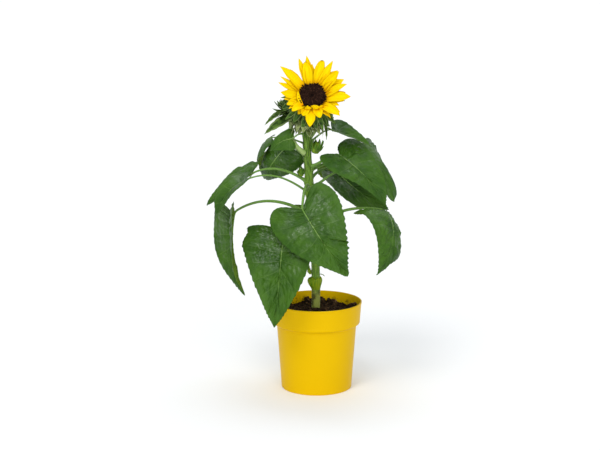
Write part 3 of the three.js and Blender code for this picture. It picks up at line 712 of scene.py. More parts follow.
# %% The leaves' places and sizes
LEAVES = {
    "front": dict(
        stalk=(290, 40, 70), joint=(-21, -70, 274), tip=(-48, -46), face=(-104, 21),
        length=125, width=102, bend=(-14, 7, -16), fold=(14, 30),
        swells=[(-1, 0.14, 0.1, 2, -8), (1, 0.13, 0.12, 1, -7), (-1, 0.9, 0.05, 2), (1, 0.92, 0.05, 2)],
        creases=[(-1, 0.64, -4.4)]),
    "front_low": dict(
        stalk=(212, 45, 30), joint=(-46, -46, 237), tip=(-99, -42), face=(-120, 18),
        length=140, width=110, bend=(42, -13, -30), fold=(17, -1),
        swells=[(1, 0.24, 0.06, 5), (1, 0.33, 0.03, -2), (1, 0.42, 0.05, 3), (-1, 0.5, 0.08, 3)],
        creases=[(-1, 0.36, -1.8)]),
    "left_low": dict(
        stalk=(253, 35, 34), joint=(-118, -23, 260), tip=(246, -73), face=(201, 10),
        length=119, width=87, bend=(29, 7, 3), fold=(33, 25),
        swells=[(-1, 0.6, 0.12, -6)]),
    "right_low": dict(
        stalk=(239, 36, 8), joint=(95, -30, 265), tip=(-67, -10), face=(-49, 17),
        length=123, width=100, bend=(87, 8, -21), fold=(-3, 45),
        swells=[(-1, 0.35, 0.08, -3), (-1, 0.6, 0.04, 4), (-1, 0.73, 0.04, -4)],
        sags=[(1, 42)]),
    "left_back": dict(
        stalk=(301, 32, 25), joint=(-92, 19, 310), tip=(160, -29), face=(240, 75),
        length=90, width=71, bend=(13, 2, -25), fold=(20, 21),
        swells=[(1, 0.32, 0.025, -4), (1, 0.38, 0.02, 4), (1, 0.445, 0.025, -5), (1, 0.5, 0.02, 2)]),
    "left_front": dict(
        stalk=(286, 37, 19), joint=(-98, -30, 309), tip=(187, -20), face=(230, 90),
        length=68, width=66, bend=(55, 18, -35), fold=(18, 17)),
    "left_upper": dict(
        stalk=(338, 30, 10), joint=(-42, 17, 349), tip=(182, -41), face=(255, 34),
        length=89, width=71, bend=(87, 0, -32), fold=(-7, 54)),
    "left_curled": dict(
        stalk=(354, 15, 5), joint=(-66, 44, 358), tip=(168, -30), face=(190, 55),
        length=44, width=36, bend=(60, 0, 0), fold=(2, 30),
        swells=[(-1, 0.62, 0.18, 10)]),
    "left_small": dict(
        stalk=(368, 20, 30), joint=(-35, -7, 363), tip=(181, -6), face=(251, 52),
        length=38, width=44, bend=(51, 11, -4), fold=(8, 22)),
    "right_upper": dict(
        stalk=(357, 35, 0), joint=(21, 9, 374), tip=(-12, -14), face=(-60, 80),
        length=60, width=53, bend=(22, 18, 10), fold=(20, 3),
        swells=[(1, 0.55, 0.15, 4)]),
    "right_middle": dict(
        stalk=(322, 19, -5), joint=(30, -8, 341), tip=(-28, -26), face=(-52, 44),
        length=100, width=87, bend=(34, -5, 6), fold=(20, 26)),
    "right_front": dict(
        stalk=(293, 20, -15), joint=(29, 10, 313), tip=(2, -46), face=(-120, -20),
        length=92, width=74, bend=(-11, 29, -30), fold=(-21, 0),
        swells=[(1, 0.3, 0.16, 6)]),
    "right_far": dict(
        stalk=(317, 14, -30), joint=(66, 62, 347), tip=(-40, -44), face=(-35, 30),
        length=102, width=99, bend=(13, -7, -10), fold=(10, 53),
        swells=[(-1, 0.24, 0.04, 5), (-1, 0.36, 0.04, -3), (-1, 0.62, 0.03, -3), (-1, 0.76, 0.08, 7),
                (1, 0.85, 0.09, 8, 5)]),
    "back_low": dict(
        stalk=(224, 40, 15), joint=(-3, 52, 252), tip=(74, -38), face=(75, 50),
        length=88, width=70, bend=(25, 0, 0), fold=(10, 25)),
    "back_left": dict(
        stalk=(236, 40, 15), joint=(-36, 60, 220), tip=(140, -46), face=(112, 35),
        length=90, width=76, bend=(20, 0, 0), fold=(10, 25)),
    "back_right": dict(
        stalk=(304, 30, 0), joint=(33, 64, 312), tip=(52, -42), face=(70, 40),
        length=88, width=72, bend=(30, 0, 0), fold=(8, 30)),
    "back_upper": dict(
        stalk=(310, 25, 5), joint=(-54, 70, 334), tip=(118, -30), face=(110, 50),
        length=68, width=58, bend=(30, 0, 0), fold=(8, 30)),
}

# %% [markdown]
# The stem stands straight at first, leans to the left higher up, and nods forward into the bloom.
# Its middle line is a formula of the height up to the neck, where a short curve takes over. It is
# drawn a little thicker towards the top than the plain solid, as the photograph shows it.

# %% The stem's path
STEM_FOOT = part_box("stem")[0][2] / MM
STEM_LEAN = {"from": 150, "over": 220, "across": -12.8, "back": 4}
STEM_NECK = 372
STEM_RADII = {"foot": 6.1, "top": 5.4}
STEM_TOP_HEIGHT = 414
NECK_PULL = {"stem": 24, "bloom": 16}
BLOOM_CENTRE = np.array([-7.0, -8, 421])
BLOOM_LOOKS_UP = 33
BLOOM_LOOKS = heading(-90, BLOOM_LOOKS_UP)
CUP_DEPTH = 16
STEM_STEPS = {"straight": 120, "neck": 40, "all": 220}


def stem_axis(height):
    """The middle of the stem: its lean sets in and dies out smoothly with height."""
    height = np.asarray(height, float)
    share = eased((height - STEM_LEAN["from"]) / STEM_LEAN["over"])
    across = STEM_FOOT_X + STEM_LEAN["across"] * share
    return stacked(across, STEM_LEAN["back"] * share, height)


def stem_radius(height):
    share = (height - STEM_FOOT) / (STEM_TOP_HEIGHT - STEM_FOOT)
    return between(STEM_RADII["foot"], STEM_RADII["top"], share)


def stem_path():
    """Straight up with a lean, then a bend forward into the bloom's cup."""
    straight = stem_axis(np.linspace(STEM_FOOT - 2, STEM_NECK, STEM_STEPS["straight"]))
    top = straight[-1]
    cup_base = BLOOM_CENTRE - BLOOM_LOOKS * CUP_DEPTH
    leaving, arriving = NECK_PULL["stem"] * UP, NECK_PULL["bloom"] * BLOOM_LOOKS
    end = cup_base + 2 * BLOOM_LOOKS
    neck = bezier([top, top + leaving, cup_base - arriving, end], STEM_STEPS["neck"])
    return evenly(softened(np.concatenate([straight, neck[1:]]), 6), STEM_STEPS["all"])


stem_line, stem_run = stem_path()
print("stem length in mm:", round(stem_run[-1]))

# %% [markdown]
# A stem isn't a plain pipe: it has shallow ribs, and it swells where a leaf stalk leaves it. Both
# are changes of the tube's section, worked out for every point at once.

# %% The stem's section: ribs, and a swelling where each stalk leaves
# Each set of ribs: how deep, how many, and how much it turns for each mm of height
STEM_RIBS = [(0.018, 11, 0.01), (0.012, 5, 0.03)]
SWELLING = {"depth": 0.34, "wide": 0.62, "tall": 5.5, "below": 2}


def stem_section(angle, share):
    """1 + shallow ribs + a soft bump towards every stalk, as high as the stalk is thick.

    The angle counts from +X round to -Y, as tube lays its rings, so a compass turn is negated.
    """
    height = stem_line[:, 2][:, None]
    section = 1 + sum(deep * np.cos(count * angle + twist * height) for deep, count, twist in STEM_RIBS)
    for leaf in LEAVES.values():
        level = leaf["stalk"][0]
        out = np.array(leaf["joint"]) - stem_axis(level)
        round_it = hill(turn_from(angle, -np.arctan2(out[1], out[0])), SWELLING["wide"])
        up_it = hill(height - level + SWELLING["below"], SWELLING["tall"])
        section = section + SWELLING["depth"] * round_it * up_it
    return section


# %% [markdown]
# Fresh stems and stalks are pale green, streaked lengthways, and rough with short bristles.
# The streaks come from a noise that is stretched along the tube's own map. Near the soil the stem
# turns olive and brown, and under the bloom, in its shadow, painted shade darkens it between its
# streaks. Masks on the height above the table give both.

# %% Stem and stalk finishes
# Heights in metres between which the earthy foot fades out and the painted shade under the bloom sets in
EARTHY = (0.132, 0.158)
PAINTED_SHADE_HEIGHTS = (0.29, 0.335)


def stem_tones(paint, colour, dark, streaks):
    """The stem's colour with an earthy foot and, under the bloom, painted shade at the top."""
    height = paint.node("SeparateXYZ", [paint.place]).outputs[2]
    blotches = paint.rescaled(paint.noise(60, 4), 0.46, 0.58)
    earthy = paint.mixed(blotches, (0.40, 0.42, 0.10), (0.08, 0.045, 0.016))
    low = paint.rescaled(height, *EARTHY, 1, 0)
    colour = paint.mixed(paint.times(low, 0.75), colour, earthy)
    # Painted shade: under the bloom, in its shadow, the stem is darkened between its streaks.
    furrows = paint.rescaled(streaks, 0.42, 0.56, 1, 0.1)
    painted_shade = paint.times(paint.rescaled(height, *PAINTED_SHADE_HEIGHTS), furrows)
    return paint.mixed(painted_shade, colour, [0.45 * c for c in dark])


def stalk_green(name, dark, light, tones=None):
    """Two greens in lengthways streaks, with small warts; tones may change the colour further."""
    paint = Finish(name, Roughness=0.5, Specular_IOR_Level=0.12)
    turn, length = paint.map_parts("tube")
    angle = paint.times(turn, 2 * np.pi)
    round_it = [paint.times(paint.maths(wave, angle), 6) for wave in ("SINE", "COSINE")]
    stretched = paint.node("CombineXYZ", [*round_it, paint.times(length, 0.5)]).outputs[0]
    streaks = paint.noise(1.4, 4, 0.6, stretched)
    colour = paint.mixed(paint.rescaled(streaks, 0.32, 0.68), dark, light)
    if tones:
        colour = tones(paint, colour, dark, streaks)
    warts = paint.noise(1300, 2)
    relief = paint.bumped(warts, 0.06, Normal=paint.bumped(streaks, 0.2))
    return paint.done(Base_Color=colour, Normal=relief)


STEM_GREEN = stalk_green("stem green", (0.045, 0.120, 0.010), (0.21, 0.37, 0.045), stem_tones)
STALK_GREEN = stalk_green("stalk green", (0.07, 0.17, 0.015), (0.21, 0.36, 0.09))
PALE_GREEN = stalk_green("pale hairy green", (0.22, 0.35, 0.09), (0.40, 0.50, 0.20))

# %% [markdown]
# With path, section and finish at hand, the stem is one call. Its surface is kept as well, as the
# place where hairs will be rooted in the end.

# %% Build the stem
STEM_SIDES = 66

stem_sizes = stem_radius(np.minimum(stem_line[:, 2], STEM_TOP_HEIGHT))
stem_shape, stem_surface = tube(stem_line, stem_sizes, STEM_SIDES, np.array([1.0, 0, 0]), stem_section)
dress(add_mesh("stem_skin", stem_shape, [STEM_GREEN]), "green_stem", "stem")
hair_roots = {"stem": [stem_surface], "stalk": []}

# %% [markdown]
# A leaf hangs from its midrib, which droops, bends sideways and twists on its way to the tip. Bones
# could bend a flat leaf, but a formula gives the solid and this surface the very same curve. Three
# steady bends together are one turn about a slanting axis, and so the midrib is an arc of a helix.

# %% The midrib
TINY = 1e-6


def turned_about(vectors, axis, angle):
    """Each vector turned about an axis: v cos a + (axis x v) sin a + axis (axis . v)(1 - cos a)."""
    cosine, sine = np.cos(angle)[..., None], np.sin(angle)[..., None]
    return vectors * cosine + np.cross(axis, vectors) * sine + axis * (axis @ vectors) * (1 - cosine)


def midrib(leaf, distance):
    """Centre, way along and facing of the midrib at a distance from the joint."""
    distance = np.asarray(distance, float)
    along = heading(*leaf["tip"])
    face = heading(*leaf["face"])
    face = unit(face - (face @ along) * along)
    droop, aside, twist = np.radians(leaf["bend"])
    spin = np.cross(face, along) * droop + face * aside + along * twist
    rate = max(np.linalg.norm(spin), TINY) / leaf["length"]
    axis = unit(spin)
    angle = rate * distance
    kept = axis * (axis @ along)
    arc = (along - kept) * np.sin(angle)[..., None] + np.cross(axis, along) * (1 - np.cos(angle))[..., None]
    centre = np.array(leaf["joint"], float) + kept * distance[..., None] + arc / rate
    return centre, turned_about(along, axis, angle), turned_about(face, axis, angle)


# %% [markdown]
# A sunflower leaf is a heart: two round lobes behind the stalk, and a long point ahead. The outline
# is a cosine arc, drawn back near the stalk to make the lobes. A line from the midrib to the margin
# at the same share of the length runs much as a side vein does, so the grid's own rows serve as
# veins. Across the midrib the blade folds and curls.

# %% The blade's smooth form
LOBE_DEPTH = 0.387
LOBE_FALL = 2.2
POINT_FALL = 1.25
WIDEST = 0.735
SLOT_HALF = 3
PLAIN_FOOT_HALF = 0.6
SLOT_FALL = 6
RIB_START = 0.7
VEIN_SWEEP = 0.9
SAG_REACH = 0.24


def blade(leaf, across, along, tooth=0, swell_out=0, swell_ahead=0):
    """Mid-surface of a blade, the way it faces, and the distance out from the midrib.

    across runs from -1 to 1 and along from 0 at the stalk to 1 at the tip. tooth pushes the margin
    out and forward, and so do the two swells. The section across is an arc: it stands up by fold
    and curls down by curl. A sag lets the lobe on one side hang further down near the stalk.
    """
    length, width = leaf["length"], leaf["width"]
    plain = leaf.get("plain", False)
    share = np.abs(across)
    rise = np.sin(np.pi * along)
    fall = np.cos(np.pi * along / 2).clip(0)
    lobes = 0 if plain else LOBE_DEPTH
    slot = PLAIN_FOOT_HALF if plain else SLOT_HALF
    edge_along = length * ((1 - np.cos(np.pi * along)) / 2 - lobes * rise * fall**LOBE_FALL)
    edge_out = (width / 2) * rise * fall**POINT_FALL / WIDEST + slot * (1 - along) ** SLOT_FALL
    rib = RIB_START + (length - RIB_START) * along**2
    forward = tooth * share**10
    distance = rib + (edge_along - rib) * share**VEIN_SWEEP + 0.5 * forward + swell_ahead * share**2
    centre, way, face = midrib(leaf, distance)
    out = edge_out * share + forward + swell_out * share**2
    fold, curl = np.radians(leaf.get("fold", (0, 0)))
    for side, sag in leaf.get("sags", ()):
        fold = fold - np.radians(sag) * hill(along, SAG_REACH) * (np.sign(across) == side)
    rate = (curl or TINY) / (width / 2)
    lean = fold - rate * out
    sideways = (np.sin(fold) - np.sin(lean)) / rate
    raised = (np.cos(lean) - np.cos(fold)) / rate
    right = np.cross(way, face) * np.sign(across)[..., None]
    points = centre + right * sideways[..., None] + face * raised[..., None]
    normal = face * np.cos(lean)[..., None] - right * np.sin(lean)[..., None]
    return points, normal, out * np.sign(across)


# %% [markdown]
# A bare arc would look like cut paper. A real blade is quilted: it puffs up in cells between its
# veins, sinks along them, waves towards the margin and ends in small forward teeth. All of that is
# real relief in the mesh, so the light breaks on it and the outline shows it. Underneath, the veins
# stand out as ridges.

# %% Teeth, swells and creases
TOOTH_DEPTH = 1.2
TOOTH_RISE = 0.7
CREASE_WIDTH = 0.009
CREASE_REACH = 0.13


def teeth(along, count, seed):
    """Forward teeth along the margin: each rises slowly and drops off fast, and no two are alike."""
    dice = np.random.default_rng(seed)
    turn = along * count
    part = turn % 1
    deep = dice.uniform(0.45, 1.25, count + 2)[np.floor(turn).astype(int)]
    fade = np.sqrt(np.sin(np.pi * along).clip(0))
    saw = np.where(part < TOOTH_RISE, part / TOOTH_RISE, (1 - part) / (1 - TOOTH_RISE))
    return TOOTH_DEPTH * deep * fade * saw


def swells(leaf, across, along):
    """How far the margin stands out and ahead of its smooth outline, in mm."""
    total = np.zeros(along.shape + (2,))
    for side, where, spread, *push in leaf.get("swells", ()):
        shape = hill(along - where, spread) * (np.sign(across) == side)
        total = total + shape[..., None] * [*push, 0][:2]
    return total[..., 0], total[..., 1]


def creases(leaf, across, along):
    """Half the step where the blade folds over itself: up before the crease, down after it."""
    total = np.zeros(along.shape)
    for side, where, half_step in leaf.get("creases", ()):
        away = along - where
        step = half_step * np.tanh(away / CREASE_WIDTH) * hill(away, CREASE_REACH)
        total = total + step * (np.sign(across) == side) * np.abs(across) ** 1.2
    return total


# %% [markdown]
# Between the veins a leaf puffs up in small cells of uneven size, like a patchwork. Such a pattern
# comes from points that are scattered one to a square: every place belongs to the nearest point,
# and it lies on a border where two of them are equally near.

# %% Cells
SHAKEN_SQUARES = 64


def cell_depth(places, seed):
    """How far inside a cell each place lies: 0 on a border, near 1 in the middle of a cell.

    A seeded centre stands somewhere in each unit square; the depth is the distance to the second
    nearest centre less the distance to the nearest.
    """
    size = SHAKEN_SQUARES
    shake = np.random.default_rng(seed).uniform(0.1, 0.9, (size, size, 2))
    square = np.floor(places).astype(int)
    reach = []
    for step in np.ndindex(3, 3):
        near = square + np.array(step) - 1
        centre = near + shake[near[..., 0] % size, near[..., 1] % size]
        reach.append(np.linalg.norm(places - centre, axis=-1))
    reach = np.sort(np.stack(reach), axis=0)
    return reach[1] - reach[0]


# %% [markdown]
# The quilting follows the veins. A number that is whole on every side vein runs along the blade.
# Together with the distance out from the midrib it numbers the cells, and the same two numbers
# become the vein map that the finish reads, so relief and colour agree.

# %% Quilting between the veins
VEIN_SPACING = 12.5
PUFF_LENGTH = 8
SMALL_PUFF = 0.45
PUFF = 0.022
BROAD = 0.006
WAVE = 0.017


def quilting(leaf, across, along, out, points, seed):
    """Height of the blade over its smooth arc, how near each place is to a vein, and the vein number.

    height = puffs in cells that lie between the side veins, x how far in from midrib and margin
           + a broad unevenness + a wave that grows towards the margin.
    """
    length = leaf["length"]
    share = np.abs(across)
    rise = np.sin(np.pi * along)
    phase = along * round(length / VEIN_SPACING) + 0.3 * across + 0.14 * ripple(points, 55, seed + 2)
    inside = held(share / 0.06) * held((1 - share) / 0.2) * rise.clip(0) ** 0.4
    large = stacked(2 * phase, out / PUFF_LENGTH + 0.35 * phase)
    small = stacked(4 * phase, out / (SMALL_PUFF * PUFF_LENGTH))
    cells = 0.55 * eased(cell_depth(large, seed) / 0.7) + 0.25 * eased(cell_depth(small, seed + 3) / 0.7)
    panel = 0.6 * np.abs(np.sin(np.pi * phase))
    uneven = 1 + 0.5 * ripple(points, 30, seed)
    puffs = PUFF * length * (cells + panel - 0.7) * uneven * inside
    broad = BROAD * length * ripple(points, 34, seed + 1) * inside
    wave = WAVE * length * share**3 * np.sin(2 * np.pi * (2.6 * along + 0.37 * seed) + across) * rise
    rib = hill(out, between(1.5, 0.5, along))
    side_vein = hill((phase + 0.5) % 1 - 0.5, 0.05) * (1 - share) ** 0.5 * held(share / 0.02)
    return puffs + broad + wave, rib, side_vein, phase


# %% [markdown]
# The whole blade is a grid. Its columns stand close together at the midrib and at the margins, where
# the form changes fast, and every tooth has the same number of rows. The grid is laid twice, once
# for each side, with grooves for the veins above and ridges below.

# %% A whole blade
TOOTH_SPACING = 5.2
ROWS_PER_TOOTH = 6
# How much longer a margin is than its blade, and from what length on the teeth have their full depth
MARGIN_RATIO = 1.25
FULL_TEETH = 80
COLUMN_SPACING = 4.6
FEWEST_COLUMNS = 8
# Shares from the midrib to the margin, close together at both
NEAR_RIB = [0, 0.008, 0.018, 0.032, 0.05, 0.075]
BROAD_PART = (0.105, 0.925)
NEAR_MARGIN = [0.955, 0.98, 1]
BLADE_THICKNESS = 0.5
CREASE_OVERLAP = 1.3


def leaf_blade(leaf, seed):
    """A whole blade: upper and lower grids that meet at its margin, with two UV maps."""
    length = leaf["length"]
    tooth_count = round(MARGIN_RATIO * length / TOOTH_SPACING)
    broad = np.linspace(*BROAD_PART, max(FEWEST_COLUMNS, round(leaf["width"] / COLUMN_SPACING)))
    half = np.concatenate([NEAR_RIB, broad, NEAR_MARGIN])
    across = np.concatenate([-half[:0:-1], half])[None, :]
    along = np.linspace(0, 1, tooth_count * ROWS_PER_TOOTH + 1)[:, None]
    across, along = np.broadcast_arrays(across, along)
    left, right = (teeth(along, tooth_count, seed + more) for more in (0, 50))
    tooth = np.where(across < 0, left, right) * min(1, length / FULL_TEETH)
    points, normal, out = blade(leaf, across, along, tooth, *swells(leaf, across, along))
    height, rib, side_vein, phase = quilting(leaf, across, along, out, points, seed)
    ahead = unit(np.gradient(points, axis=0))
    points = points + creases(leaf, across, along)[..., None] * (normal + CREASE_OVERLAP * ahead)
    thick = np.sqrt(held((1 - np.abs(across)) / 0.05) * held(along / 0.02))
    groove = (0.5 * rib + 0.22 * side_vein) * between(1, 0.4, along)
    ridge = (between(1.3, 0.25, along) * rib + 0.4 * side_vein) * thick
    half_thick = BLADE_THICKNESS / 2 * thick
    upper = points + normal * (height - groove + half_thick)[..., None]
    lower = points + normal * (height - groove - ridge - half_thick)[..., None]
    lower = np.where(thick[..., None] == 0, upper, lower)
    return closed_sheet(upper, lower, outline=flat_map(across / 2 + 0.5, along), veins=flat_map(out, phase))


# %% [markdown]
# The leaf's upper side is a deep green with pale veins. Its waxy coat shows in patches near the
# stalk, where it takes the light in cool glints, and fades towards tip and margin. The lower side
# has no gloss, is more olive, and its veins stand out pale. Both finishes read the vein map, and a
# network of veinlets fills the panels between.

# %% Leaf finishes
def vein_mask(paint, rib_wide, side_wide, side_strength):
    """1 on the midrib, less on the side veins, 0 between them; both grow finer outwards."""
    out, phase = paint.map_parts("veins")
    side, length = paint.map_parts("outline")
    wide = paint.times_plus(length, -0.75 * rib_wide, rib_wide)
    from_rib = paint.maths("DIVIDE", paint.maths("ABSOLUTE", out), wide)
    rib = paint.times(paint.rescaled(from_rib, 0.45, 1.0, 1, 0), paint.rescaled(length, 0.5, 0.85, 1, 0.25))
    thin = paint.times_plus(paint.from_middle(side), -0.8 * side_wide, side_wide)
    from_vein = paint.times(paint.maths("PINGPONG", phase, 0.5), VEIN_SPACING)
    vein = paint.rescaled(paint.maths("DIVIDE", from_vein, thin), 0.4, 1.0, 1, 0)
    return paint.maths("MAXIMUM", rib, paint.times(vein, side_strength))


def wax_patches(paint):
    """1 in cloudy patches on the inner part of the blade near the stalk, 0 elsewhere."""
    side, length = paint.map_parts("outline")
    near_stalk = paint.rescaled(length, 0.45, 0.7, 1, 0)
    inner = paint.times(near_stalk, paint.rescaled(paint.from_middle(side), 0.6, 0.9, 1, 0))
    return paint.times(inner, paint.rescaled(paint.noise(45, 3), 0.38, 0.56))


def leaf_finish(name, dark, light, vein, side_strength, veinlet_strength, sunk, wax, **numbers):
    """Two greens in cloudy patches, paler veins over them, and a fine relief of cells and veinlets.

    sunk is 1 where the veins lie in the blade, and -1 where they stand out of it.
    """
    paint = Finish(name, **numbers)
    edges = {"Vector": paint.place, "Scale": 330}
    edges = paint.node("TexVoronoi", edges, feature="DISTANCE_TO_EDGE").outputs[0]
    veinlets = paint.rescaled(edges, 0.0, 0.09, 1, 0)
    mask = vein_mask(paint, 1.25, 0.6, side_strength)
    green = paint.mixed(paint.rescaled(paint.noise(32, 4, 0.6), 0.3, 0.7), dark, light)
    netted = paint.mixed(paint.times(veinlets, veinlet_strength), green, vein)
    veined = paint.mixed(paint.times(mask, 0.8), netted, vein)
    pores = paint.bumped(paint.noise(2200, 2), 0.04)
    fine = paint.bumped(veinlets, -0.05 * sunk, Normal=pores)
    relief = paint.bumped(mask, -0.22 * sunk, Normal=fine)
    coat = paint.times(wax_patches(paint), wax)
    return paint.done(Base_Color=veined, Normal=relief, Coat_Weight=coat, Coat_Normal=relief)


LEAF_TOP = leaf_finish(
    "leaf upper side", (0.021, 0.070, 0.005), (0.049, 0.126, 0.009), (0.24, 0.38, 0.10), 0.16, 0.04, 1, 0.6,
    Roughness=0.42, Specular_IOR_Level=0.14, Coat_Roughness=0.2)
LEAF_UNDER = leaf_finish(
    "leaf lower side", (0.070, 0.142, 0.010), (0.112, 0.20, 0.018), (0.30, 0.42, 0.11), 0.6, 0.16, -1, 0,
    Roughness=0.5, Specular_IOR_Level=0.03)

# %% [markdown]
# Every leaf is now one row of the table and one seed. A blade has two materials in one mesh: the
# first half of its faces is the upper side, the second half the lower one.

# %% Build the leaves
for number, (name, leaf) in enumerate(LEAVES.items()):
    shape = leaf_blade(leaf, seed=3 * number + 1)
    sides = np.repeat([0, 1], len(shape[1]) // 2)
    dress(add_mesh(f"blade_{name}", shape, [LEAF_TOP, LEAF_UNDER], sides), "leaf_green", f"leaf_{name}")

# %% [markdown]
# A leaf stalk springs from a broad foot on the stem, thins along its arc, and runs on under the
# blade as the foot of the midrib. It is channelled on top. One path takes in all three stretches,
# softened so that no joint shows.

# %% Leaf stalks
STALK_RADII = {"root": 2.4, "tip": 1.4}
STALK_PULL = {"root": 0.39, "tip": 0.36}
STALK_FOOT = {"flare": 0.45, "reach": 4.5}
STALK_SIDES = 20
STALK_STEPS = {"arc": 60, "under": 16, "all": 76}
# A leaf this long has a stalk of the radii above, and other leaves in proportion, within limits
FULL_LEAF = 90
STALK_LIMITS = (0.6, 1.15)
UNDER_BLADE = 0.3
HAIRY_PART = 0.8


def stalk_path(leaf):
    """Out of the stem, along the arc to the joint, and on under the midrib for part of its length."""
    height, rise, fall = leaf["stalk"]
    rise, fall = np.radians(rise), np.radians(fall)
    root = stem_axis(height)
    joint = np.array(leaf["joint"], float)
    outward = (joint - root) * [1, 1, 0]
    reach = np.linalg.norm(outward)
    outward = outward / reach
    leaving = (outward * np.cos(rise) + UP * np.sin(rise)) * STALK_PULL["root"] * reach
    arriving = (outward * np.cos(fall) - UP * np.sin(fall)) * STALK_PULL["tip"] * reach
    start = root + outward * (stem_radius(height) - 1)
    arc = bezier([start, start + leaving, joint - arriving, joint], STALK_STEPS["arc"])
    centre, _, face = midrib(leaf, np.linspace(2.5, UNDER_BLADE * leaf["length"], STALK_STEPS["under"]))
    below = centre - face * np.linspace(1.5, 0.8, STALK_STEPS["under"])[:, None]
    return *evenly(softened(np.concatenate([arc[:-1], below]), 3), STALK_STEPS["all"]), outward


def stalk_sizes(leaf, run):
    """Radius along the path: a flare at the foot, an even taper, then thinner under the blade."""
    share = run / run[-1]
    arc_share = np.clip(1 - UNDER_BLADE * leaf["length"] / run[-1], 0.3, 0.95)
    size = np.clip(leaf["length"] / FULL_LEAF, *STALK_LIMITS)
    taper = between(STALK_RADII["root"], STALK_RADII["tip"], held(share / arc_share))
    flare = 1 + STALK_FOOT["flare"] * hill(run, STALK_FOOT["reach"])
    fading = between(1, 0.35, eased((share - arc_share) / (1 - arc_share)))
    return size * taper * flare * fading


def channelled(angle, share):
    """A round section with a channel on top and a hint of ribs. The top is at minus a quarter turn."""
    return 1 - 0.16 * hill(turn_from(angle, -np.pi / 2), 0.5) + 0.02 * np.cos(9 * angle)


for name, leaf in LEAVES.items():
    path, run, outward = stalk_path(leaf)
    shape, surface = tube(path, stalk_sizes(leaf, run), STALK_SIDES, np.cross(outward, UP), channelled)
    dress(add_mesh(f"stalk_{name}", shape, [STALK_GREEN]), "pale_stalk", f"petiole_{name}")
    hairy = int(HAIRY_PART * len(surface[0]))
    hair_roots["stalk"].append([part[:hairy] for part in surface])

# %% [markdown]
# Petals and bracts are one kind of shape: a narrow blade that widens from a foot, runs out to a
# point, arches back and is a little channelled. Petals also have lengthwise pleats and a slight
# twist. The sheet's thickness fades to nothing at its edges, so its two sides close there.

# %% Pointed blades
BRACT_THICKNESS = 0.5
BRACT_GRID = (9, 17)
SPEAR_FOOT = 0.45


def thinned(across, along, reach):
    """1 over most of a blade, falling to 0 at its sides, and at its foot and tip within reach."""
    return np.sqrt((1 - across**2).clip(0) * held(along / reach) * held((1 - along) / reach))


def spear(
    root, along, face, length, width, arch, thickness=BRACT_THICKNESS, grid=BRACT_GRID,
    pleats=0.0, twist=0.0, cup=0.16, wave=0.0, blunt=0.0, teeth=0.0, sway=0.0, seed=0,
):
    """A pointed blade as a shape.

    half width = width / 2 x the smaller of 1 and (foot + swell); the midline leans back by up to
    half the arch at its tip; each side is raised with the square of its distance out. blunt, from 0
    to 1, swaps the point for a broad end with a notch; teeth pushes small points out of the margin;
    sway bends the whole blade to one side.
    """
    across = np.linspace(-1, 1, grid[0])[None, :]
    share = np.linspace(0, 1, grid[1])[:, None]
    swell = np.sin(np.pi * share**0.85).clip(0) ** 0.8
    pointed = np.minimum(1, (1 - share) * SPEAR_FOOT + swell)
    opening = np.sin(0.5 * np.pi * np.minimum(1, 1.5 * share))
    broad = between(SPEAR_FOOT, 1, opening) * (1 - share**7).clip(0) ** 0.5
    half = (width / 2) * between(pointed, broad, blunt)
    half = half + teeth * np.abs(np.sin(np.pi * (5 * share + 0.4 * seed))) * swell
    angle = np.radians(arch) * (share - 0.5)
    reach = length * share - 0.07 * blunt * length * share**8 * np.cos(np.pi * across * 1.5) ** 2
    turn = np.radians(twist) * share**1.5
    pleat = pleats * np.cos(3 * np.pi * across) * swell
    rolling = wave * np.sin(5 * share + seed) * across + 0.5 * wave * np.sin(9 * share + 2 * seed)
    out = across * half * np.cos(turn) + sway * length * share**2
    raised = cup * width * across**2 * swell + pleat + rolling * share + across * half * np.sin(turn)
    raised = raised - reach * np.sin(angle)
    forward = reach * np.cos(angle)
    right = np.cross(along, face)
    middle = root + forward[..., None] * along + raised[..., None] * face + out[..., None] * right
    shift = (thickness / 2 * thinned(across, share, 0.06))[..., None] * face
    return closed_sheet(middle + shift, middle - shift, spear=flat_map(across / 2 + 0.5, share))


def spear_at(root, turn, lift, *sizes, frame=np.eye(3), **more):
    """A spear that sets out at a turn and a lift, in degrees, and faces up from there."""
    return spear(root, heading(turn, lift) @ frame, heading(turn, lift + 90) @ frame, *sizes, **more)


def drawn(dice, limits):
    """One number between each pair of limits, drawn in their order."""
    return {name: dice.uniform(*pair) for name, pair in limits.items()}


def shaken_spear(dice, limits, foot, turn, lift, length, width, arch, **more):
    """A spear a little off in turn, lift, length, arch and twist. foot(turn) is where it is rooted."""
    off = drawn(dice, limits)
    turn = turn + off["turn"]
    root = foot(turn) + off.get("up", 0) * UP
    lift = lift + off.get("lift", 0) - off.get("spread", 0)
    length, arch = length * off["length"], arch + off.get("arch", 0)
    return spear_at(root, turn, lift, length, width, arch, twist=off["twist"], **more)


def in_bloom(shape):
    """Carries a shape from the bloom's own frame (+Z where it looks, +Y up) to the plant's."""
    points, faces, maps = shape
    axes = np.stack([[1, 0, 0], np.cross(BLOOM_LOOKS, [1, 0, 0]), BLOOM_LOOKS])
    return BLOOM_CENTRE + points @ axes, faces, maps
